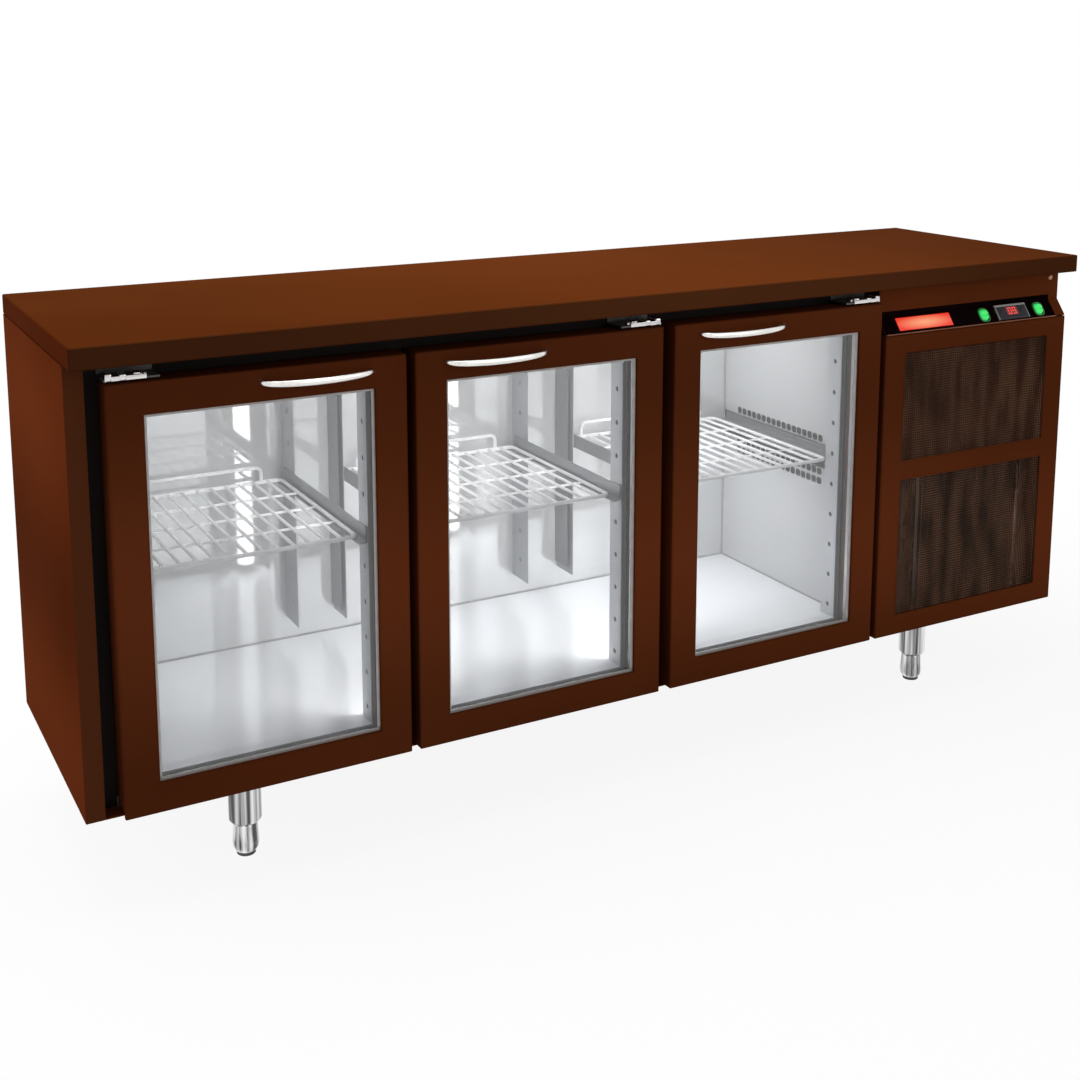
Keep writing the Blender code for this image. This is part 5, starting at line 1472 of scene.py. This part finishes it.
# %% Digits and keys
DIGIT_HEIGHT = 0.0120
DIGIT_WIDTH = 0.0064
DIGIT_PLACES = ((-0.0055, 0.001), (0.0055, 0.001))
DIGIT_TOP = BEZEL_TOP + 0.0007
DIGIT_SEGMENTS = ("bcdefa", "bcgfad")
SEGMENT = 0.00085
KEY_PLACE = 0.0255
KEY_LIFT = 0.0002
KEY_STEPS = 28
KEY_PROFILE = ((0.0, 0.0014), (0.0044, 0.0012), (0.0054, 0.0), (0.0, 0.0))


def segments():
    """Ends of the seven bars of a digit, by letter, in a box one digit wide and high."""
    x, y = DIGIT_WIDTH / 2, DIGIT_HEIGHT / 2
    return {"a": ((-x, y), (x, y)), "b": ((x, y), (x, 0)), "c": ((x, 0), (x, -y)), "d": ((-x, -y), (x, -y)),
            "e": ((-x, 0), (-x, -y)), "f": ((-x, y), (-x, 0)), "g": ((-x, 0), (x, 0))}


bars = []
for place, letters in zip(DIGIT_PLACES, DIGIT_SEGMENTS):
    for letter in letters:
        ends = np.array(segments()[letter]) + place
        low, high = ends.min(0) - SEGMENT, ends.max(0) + SEGMENT
        bars.append(rounded_box((*low, WINDOW_TOP), (*high, DIGIT_TOP), FINE_ROUND, 1))
on_thermostat("thermostat_digits", digit_glow, *bars)
keys = [turned(KEY_PROFILE, (x, 0.0, BEZEL_TOP + KEY_LIFT), steps=KEY_STEPS) for x in (-KEY_PLACE, KEY_PLACE)]
on_thermostat("thermostat_keys", dark_moulding, *keys)


# %% [markdown]
# ## Screw on the fascia
# One brass screw holds the panel at its right end. Its head is a shallow turned dome.

# %% Screw on the fascia
FASCIA_SCREW = (0.020, 0.015)
SCREW_HEAD = ((0.0, 0.0018), (0.0030, 0.0015), (0.0046, 0.0006), (0.0050, 0.0), (0.0, 0.0))
place = (panel_high[0] - FASCIA_SCREW[0], SLOPE_MIDDLE[1] + FASCIA_SET, panel_high[2] - FASCIA_SCREW[1])
put("fascia_screw", turned(SCREW_HEAD, place, (0, -1, 0), KEY_STEPS), dim_brass, slot="chrome")


# %% [markdown]
# ## Cooling unit
# Behind the mesh stand a finned condenser with a copper coil and a fan in its shroud, and a black hermetic
# compressor. They show only faintly, but they are what is really there: fins are a row of thin plates, the
# coil is one tube carried along a line that goes to and fro.

# %% Condenser
FIN_PITCH = 0.0042
FIN_SHEET = 0.0004
FIN_PACK = 0.038
FIN_MARGIN = 0.004
COIL_TUBE = 0.0042
COIL_SIDES = 12
COIL_PASSES = 10
COIL_MARGIN = 0.015
COIL_END = 0.001
COIL_BEND_STEPS = 8
END_PLATE = 0.0012
END_INSET = 0.014
END_ROUND = 0.0003

low, high = span("condenser")
front, coil_y, pack_y = low[1], low[1] + FIN_PACK / 2, low[1] + FIN_PACK
x = np.arange(low[0] + END_INSET, high[0] - END_INSET, FIN_PITCH)
bottom, top = low[2] + FIN_MARGIN, high[2] - FIN_MARGIN
rect = np.array([(0, front, bottom), (0, pack_y, bottom), (0, pack_y, top), (0, front, top)])
fins = rect[None] + np.stack([x, 0 * x, 0 * x], -1)[:, None]
fin_faces = np.arange(len(x) * 4).reshape(-1, 4).tolist()
put("condenser_fins", (fins, fin_faces), condenser_black, slot="fin_metal", stands_for=["condenser"],
    sharp=FLAT, wall=FIN_SHEET)
pitch = (high[2] - low[2] - 2 * COIL_MARGIN) / (COIL_PASSES - 1)
levels = low[2] + COIL_MARGIN + pitch * np.repeat(np.arange(COIL_PASSES), 2)
near, far = high[0] - COIL_TUBE - COIL_END, low[0] + COIL_TUBE + COIL_END
sides = np.tile([near, far, far, near], COIL_PASSES // 2)
coil = rounded(np.stack([sides, np.full(len(sides), coil_y), levels], -1), pitch / 2, COIL_BEND_STEPS)
put("condenser_coil", swept(coil, circle(COIL_TUBE, COIL_SIDES), (0, 1, 0)), condenser_black,
    slot="fin_metal")


# %% [markdown]
# ## Filter drier
# From the coil's lower end a pipe leads to a copper filter drier, which shows as a warm upright shape at the
# right of the mesh. Its can is turned, and its pipe and thin capillary are circles carried along bent lines.

# %% Filter drier
DRIER_GAP = 0.015
DRIER_FOOT = 0.050
DRIER_LENGTH = 0.165
DRIER_RADIUS = 0.0130
DRIER_SHOULDERS = (0.014, 0.016)
DRIER_ROUND = (0.005, 4)
DRIER_STEPS = 28
OUTLET_BEND = (0.012, 6)
CAPILLARY_BEND = (0.015, 6)
CAPILLARY_RISE = 0.05
CAPILLARY_RUN = 0.10
CAPILLARY_SIDES = 10

drier = np.array((high[0] + DRIER_GAP, coil_y, low[2] + DRIER_FOOT))
neck = drier + (0, 0, DRIER_LENGTH)
bend = neck + (0, 0, CAPILLARY_RISE)
outlet = rounded([coil[0], (drier[0], *coil[0][1:]), drier], *OUTLET_BEND)
capillary = rounded([neck, bend, bend + (0, CAPILLARY_RUN, 0)], *CAPILLARY_BEND)
can = rounded([(0, 0), (COIL_TUBE, 0), (DRIER_RADIUS, DRIER_SHOULDERS[0]),
               (DRIER_RADIUS, DRIER_LENGTH - DRIER_SHOULDERS[1]), (COIL_TUBE, DRIER_LENGTH),
               (0, DRIER_LENGTH)], *DRIER_ROUND)
pipe = swept(outlet, circle(COIL_TUBE, COIL_SIDES), (0, 1, 0))
thin_pipe = swept(capillary, circle(COIL_TUBE / 2, CAPILLARY_SIDES), (1, 0, 0))
put("filter_drier", gather(pipe, turned(can, drier, steps=DRIER_STEPS), thin_pipe), dull_copper,
    slot="fin_metal")


# %% [markdown]
# ## Shroud and motor
# A sheet-metal tray behind the fins guides the air through a round hole, and a strap across the hole carries
# the fan's motor. The drilled strip with one large hole serves for the tray's back, a hoop for its walls.

# %% Shroud and motor
SHROUD_SHEET = 0.002
SHROUD_DEPTH = 0.036
FAN_HOLE = 0.098
FAN_HOLE_STEPS = 18
STRAP_HALF = 0.012
STRAP_SHEET = 0.004
STRAP_ROUND = 0.0015
FLANGE_HALF = 0.0040
FLANGE_SHEET = 0.0012
FLANGE_ROUND = 0.0004
MOTOR_PROFILE = ((0, 0), (0.032, 0), (0.032, 0.045), (0.012, 0.0445), (0, 0.044))
MOTOR_ROUND = (0.006, 5)
SHAFT_PROFILE = ((0, -0.012), (0.004, -0.012), (0.004, 0), (0, 0))
SHAFT_STEPS = 16

fan_middle = np.array(JOINTS["condenser_fan_spin"]["pos_m"])
shroud_y = pack_y + SHROUD_DEPTH
rear = drilled((low[0], shroud_y - SHROUD_SHEET / 2, 0), (1, 0, 0), (0, 0, 1), high[0] - low[0],
               [low[2], high[2]], [fan_middle[2]], (FAN_HOLE, FAN_HOLE), steps=FAN_HOLE_STEPS)
put("fan_shroud_plate", rear, galvanised, slot="fin_metal", sharp=FLAT, wall=SHROUD_SHEET)
inside = shroud_y - SHROUD_SHEET
tray = hoop(low, high, [0.0, 0.0, SHROUD_SHEET, SHROUD_SHEET], [pack_y, inside, inside, pack_y])
strap = rounded_box((low[0], shroud_y, fan_middle[2] - STRAP_HALF),
                    (high[0], shroud_y + STRAP_SHEET, fan_middle[2] + STRAP_HALF), STRAP_ROUND)
ends = [rounded_box((x - END_PLATE, front, low[2]), (x, pack_y, high[2]), END_ROUND, 1)
        for x in (low[0] + END_INSET, high[0] - END_INSET)]
flanges = [rounded_box((x - FLANGE_HALF, front - FLANGE_SHEET, low[2]), (x + FLANGE_HALF, front, high[2]),
                       FLANGE_ROUND, 1) for x in (low[0], high[0] + FLANGE_HALF)]
put("condenser_flanges", gather(*ends, *flanges), hinge_zinc, slot="fin_metal", sharp=CRISP)
put("fan_shroud", gather(tray, strap), galvanised, slot="fin_metal", sharp=CRISP)
place = (fan_middle[0], shroud_y + STRAP_SHEET, fan_middle[2])
motor = turned(rounded(MOTOR_PROFILE, *MOTOR_ROUND), place, (0, 1, 0))
shaft = turned(SHAFT_PROFILE, place, (0, 1, 0), SHAFT_STEPS)
put("fan_motor", gather(motor, shaft), black_moulding, slot="black_plastic")


# %% [markdown]
# ## Fan rotors
# A moulded rotor has swept, twisted blades on a hub with a rounded nose. Each blade is a grid over radius and
# angle whose height follows from the angle, so one formula makes all five.

# %% Fan rotors
FANS = (("condenser_fan", 0.090), ("evaporator_fan", 0.073))
BLADES = 5
BLADE_GRID = 9
BLADE_ROOT = 0.9
BLADE_SPREAD = 0.46
BLADE_NARROWS = 0.25
BLADE_PITCH = 0.0088
BLADE_CAMBER = 0.002
BLADE_SWEEP = 0.30
BLADE_SHEET = 0.0012
HUB_RADIUS = 0.020
HUB_LENGTH = 0.022
HUB_BORE = 0.0045
HUB_EDGE = 0.002
HUB_NOSE = 0.006
HUB_CAP = 0.003
HUB_STEPS = 32


def rotor_shape(radius, place, axis):
    """Blades over r and a: height = pitch * a, less a camber of 1 - a^2, and a sweep that grows with r^2."""
    r, a = np.meshgrid(np.linspace(HUB_RADIUS * BLADE_ROOT, radius, BLADE_GRID),
                       np.linspace(-1, 1, BLADE_GRID), indexing="ij")
    far = (r - HUB_RADIUS) / (radius - HUB_RADIUS)
    width = BLADE_SPREAD * (1 - BLADE_NARROWS * far ** 2)
    height = BLADE_PITCH * a * (1 - BLADE_NARROWS * far) - BLADE_CAMBER * (1 - a ** 2)
    turn = 2 * np.pi * np.arange(BLADES) / BLADES
    angle = a * width + BLADE_SWEEP * far ** 2 + turn[:, None, None]
    sheets = np.stack([r * np.cos(angle), r * np.sin(angle), np.broadcast_to(height, angle.shape)], -1)
    faces = [[corner + blade * r.size for corner in face]
             for blade in range(BLADES) for face in grid_faces(*r.shape)]
    return sheets.reshape(-1, 3) @ turn_to(axis) + np.asarray(place), faces


for name, radius in FANS:
    place, axis = JOINTS[f"{name}_spin"]["pos_m"], JOINTS[f"{name}_spin"]["axis"]
    half = HUB_LENGTH / 2
    put(f"{name}_blades", rotor_shape(radius, place, axis), black_moulding, name, "black_plastic", [name],
        wall=BLADE_SHEET)
    profile = [(HUB_BORE, -half), (HUB_RADIUS - HUB_EDGE, -half), (HUB_RADIUS, -half + HUB_EDGE),
               (HUB_RADIUS, half - HUB_NOSE), (HUB_RADIUS - HUB_EDGE, half - HUB_EDGE),
               (HUB_RADIUS - HUB_NOSE, half), (0, half), (0, half - HUB_CAP), (HUB_BORE, half - HUB_CAP),
               (HUB_BORE, -half)]
    put(f"{name}_hub", turned(profile, place, axis, HUB_STEPS), black_moulding, name, "black_plastic")


# %% [markdown]
# ## Compressor
# The compressor is a black welded can: a domed shell with a seam, a terminal box and a base plate, and three
# copper pipes. The can is one turned profile with an elliptic crown, and the pipes are bent lines.

# %% Compressor
CAN_RADIUS = 0.088
CAN_SEAM = 0.0905
CAN_PROFILE = ((CAN_RADIUS, 0.092), (CAN_SEAM, 0.091), (CAN_SEAM, 0.084), (CAN_RADIUS, 0.083),
               (CAN_RADIUS, 0.062), (0.080, 0.030), (0.060, 0.014), (0.050, 0.004), (0, 0.004))
CAN_STEPS = 64
CAN_SHARP = 30.0
CROWN_RISE = 0.050
CROWN_POINTS = 12
BASE_SHEET = 0.003
BASE_ROUND = 0.0012
TERMINAL_HALF = 0.028
TERMINAL_SET = (0.004, 0.070)
TERMINAL_LEVELS = (0.070, 0.130)
TERMINAL_ROUND = 0.004
PIPES = ((-0.060, -0.045, 0.205), (0.055, -0.050, 0.195), (0.070, 0.030, 0.165))
PIPE_FOOT = 0.115
PIPE_LEAN = 0.55
PIPE_BEND = (0.014, 8)
PIPE_RADIUS = 0.0038

low, high = span("compressor")
axis = np.array((*((low + high) / 2)[:2], low[2]))
crown = np.linspace(0, np.pi / 2, CROWN_POINTS)
crown_line = np.stack([CAN_RADIUS * np.sin(crown), high[2] - low[2] - CROWN_RISE * (1 - np.cos(crown))], -1)
can = turned(np.concatenate([crown_line, CAN_PROFILE]), axis, steps=CAN_STEPS)
plate = rounded_box(low, (high[0], high[1], low[2] + BASE_SHEET), BASE_ROUND)
box = rounded_box((axis[0] - TERMINAL_HALF, low[1] - TERMINAL_SET[0], low[2] + TERMINAL_LEVELS[0]),
                  (axis[0] + TERMINAL_HALF, axis[1] - TERMINAL_SET[1], low[2] + TERMINAL_LEVELS[1]),
                  TERMINAL_ROUND)
put("compressor_can", gather(can, plate, box), compressor_black, slot="compressor_paint",
    stands_for=["compressor"], sharp=CAN_SHARP)
stubs = []
for x, y, rise in PIPES:
    base = axis + (x, y, PIPE_FOOT)
    out = base + (x * PIPE_LEAN, y * PIPE_LEAN, 0.0)
    line = rounded([base, out, out + (0.0, 0.0, rise - PIPE_FOOT)], *PIPE_BEND)
    stubs.append(swept(line, circle(PIPE_RADIUS), (-y, x, 0.0)))
put("compressor_pipes", gather(*stubs), copper, slot="compressor_paint")


# %% [markdown]
# ## Camera
# The camera stands where the photograph's perspective puts it. It could be tilted down to centre the counter,
# but the photo's uprights ask for a small tilt, so the lens is shifted instead.

# %% Camera
CAMERA_PLACE = (-1.2894, -2.1843, 1.2098)
CAMERA_AZIMUTH = radians(-28.736)
CAMERA_ELEVATION = radians(9.556)
CAMERA_LENS = 49.814
CAMERA_SHIFT = -0.2222
SENSOR = 36.0

camera = bpy.data.objects.new("camera", bpy.data.cameras.new("camera"))
bpy.context.scene.collection.objects.link(camera)
camera.data.lens = CAMERA_LENS
camera.data.sensor_width = SENSOR
camera.data.shift_y = CAMERA_SHIFT
camera.location = CAMERA_PLACE
level = np.cos(CAMERA_ELEVATION)
back = Vector((np.sin(CAMERA_AZIMUTH) * level, -np.cos(CAMERA_AZIMUTH) * level, np.sin(CAMERA_ELEVATION)))
camera.rotation_euler = (-back).to_track_quat("-Z", "Y").to_euler()
bpy.context.scene.camera = camera
print("camera at", CAMERA_PLACE, "with a lens of", CAMERA_LENS, "mm")


# %% [markdown]
# ## White surroundings
# The photo's ground is pure white with a faint shade under the counter. A white floor and world as bright as
# that would flood the object, so both are white to the camera, to glossy rays and through glass, while their
# light on the object stays moderate.

# %% World
WORLD_LIGHT = 0.38
world = bpy.data.worlds.new("studio")
bpy.context.scene.world = world
world.use_nodes = True
tree = world.node_tree
sky = tree.nodes["Background"].inputs
sky["Color"].default_value = (1, 1, 1, 1)
feed(tree, ranged(tree, seen(tree), 0.0, 1.0, WORLD_LIGHT, 1.0), sky["Strength"])
print("world light on the object:", WORLD_LIGHT)


# %% [markdown]
# ## Floor
# The floor takes the counter's soft shadow near it and goes over into the white further out. A shadow catcher
# would need compositing; a mix of a pale shader and plain white, by the distance from the middle, does not.

# %% Floor
FLOOR_BOUNCE = 0.45
FLOOR_PALE = 0.95
FLOOR_WHITE = 0.90
FLOOR_DULL = 0.9
FLOOR_FADE = (0.9, 2.2)
FLOOR_SIZE = 60.0

floor_finish = plain("pale_floor", (FLOOR_PALE,) * 3, FLOOR_DULL, Specular_IOR_Level=0.0)
tree, shader = shader_of(floor_finish)
looked_at = seen(tree)
shade = colour_mix(tree, looked_at, (*[FLOOR_BOUNCE] * 3, 1), (*[FLOOR_PALE] * 3, 1))
feed(tree, shade, shader["Base Color"])
reach = add(tree, "VectorMath", {"operation": "LENGTH"}, (place_on(tree),)).outputs["Value"]
fade = add(tree, "MapRange", {"interpolation_type": "SMOOTHSTEP"}, Value=reach, From_Min=FLOOR_FADE[0],
           From_Max=FLOOR_FADE[1], To_Min=FLOOR_WHITE, To_Max=1.0)
share = maths(tree, "MULTIPLY", looked_at, fade.outputs["Result"])
pale = tree.nodes["Principled BSDF"].outputs["BSDF"]
mix = add(tree, "MixShader", None, (share, pale, add(tree, "Emission").outputs["Emission"]))
feed(tree, mix.outputs["Shader"], tree.nodes["Material Output"].inputs["Surface"])
half = FLOOR_SIZE / 2
points, faces = sheet((-half, -half, 0), (half, -half, 0), (half, half, 0), (-half, half, 0))
floor_mesh = bpy.data.meshes.new("floor")
floor_mesh.from_pydata(points.tolist(), [], faces)
floor_mesh.materials.append(floor_finish)
floor = bpy.data.objects.new("floor", floor_mesh)
bpy.context.scene.collection.objects.link(floor)
print("floor of", FLOOR_SIZE, "m")


# %% [markdown]
# ## Studio lamps
# Light in the photo is soft and level: a wide lamp above, a second on the left and a weak one in front. In
# the bays, light bounces many times between steel walls. Rendering all those bounces is slow, so small lamps
# under the roof and one shelf stand in for them, unseen by the camera and by reflections.

# %% Studio lamps
BAY_GLOWS = ((-0.655, 0.742, 0.26), (-0.205, 0.742, 0.26), (0.242, 0.742, 0.75), (0.242, 0.440, 0.36))
BAY_DEPTH = 0.035
BAY_GLOW_SIZE = 0.27
STUDIO = {"overhead": ((-0.4, 0.2, 3.2), (0.0, 0.0, 0.4), 2.6, 60.0),
          "left_fill": ((-3.0, 1.2, 1.5), (-0.9, 0.0, 0.45), 1.8, 45.0),
          "front_fill": ((1.2, -3.4, 1.8), (0.2, 0.0, 0.5), 2.0, 18.0)}


def soft_lamp(name, place, aim, size, power):
    """A square area lamp turned to a point."""
    light = bpy.data.lights.new(name, "AREA")
    light.size = size
    light.energy = power
    lamp = bpy.data.objects.new(name, light)
    bpy.context.scene.collection.objects.link(lamp)
    lamp.location = place
    lamp.rotation_euler = (Vector(aim) - Vector(place)).to_track_quat("-Z", "Y").to_euler()
    return lamp


for number, (x, z, power) in enumerate(BAY_GLOWS, 1):
    lamp = soft_lamp(f"bay_glow_{number}", (x, BAY_DEPTH, z), (x, BAY_DEPTH, 0.0), BAY_GLOW_SIZE, power)
    lamp.visible_camera = lamp.visible_glossy = False
for name, (place, aim, size, power) in STUDIO.items():
    soft_lamp(name, place, aim, size, power)
bpy.context.scene.view_settings.view_transform = "Standard"
print("lamps:", len(bpy.data.lights))
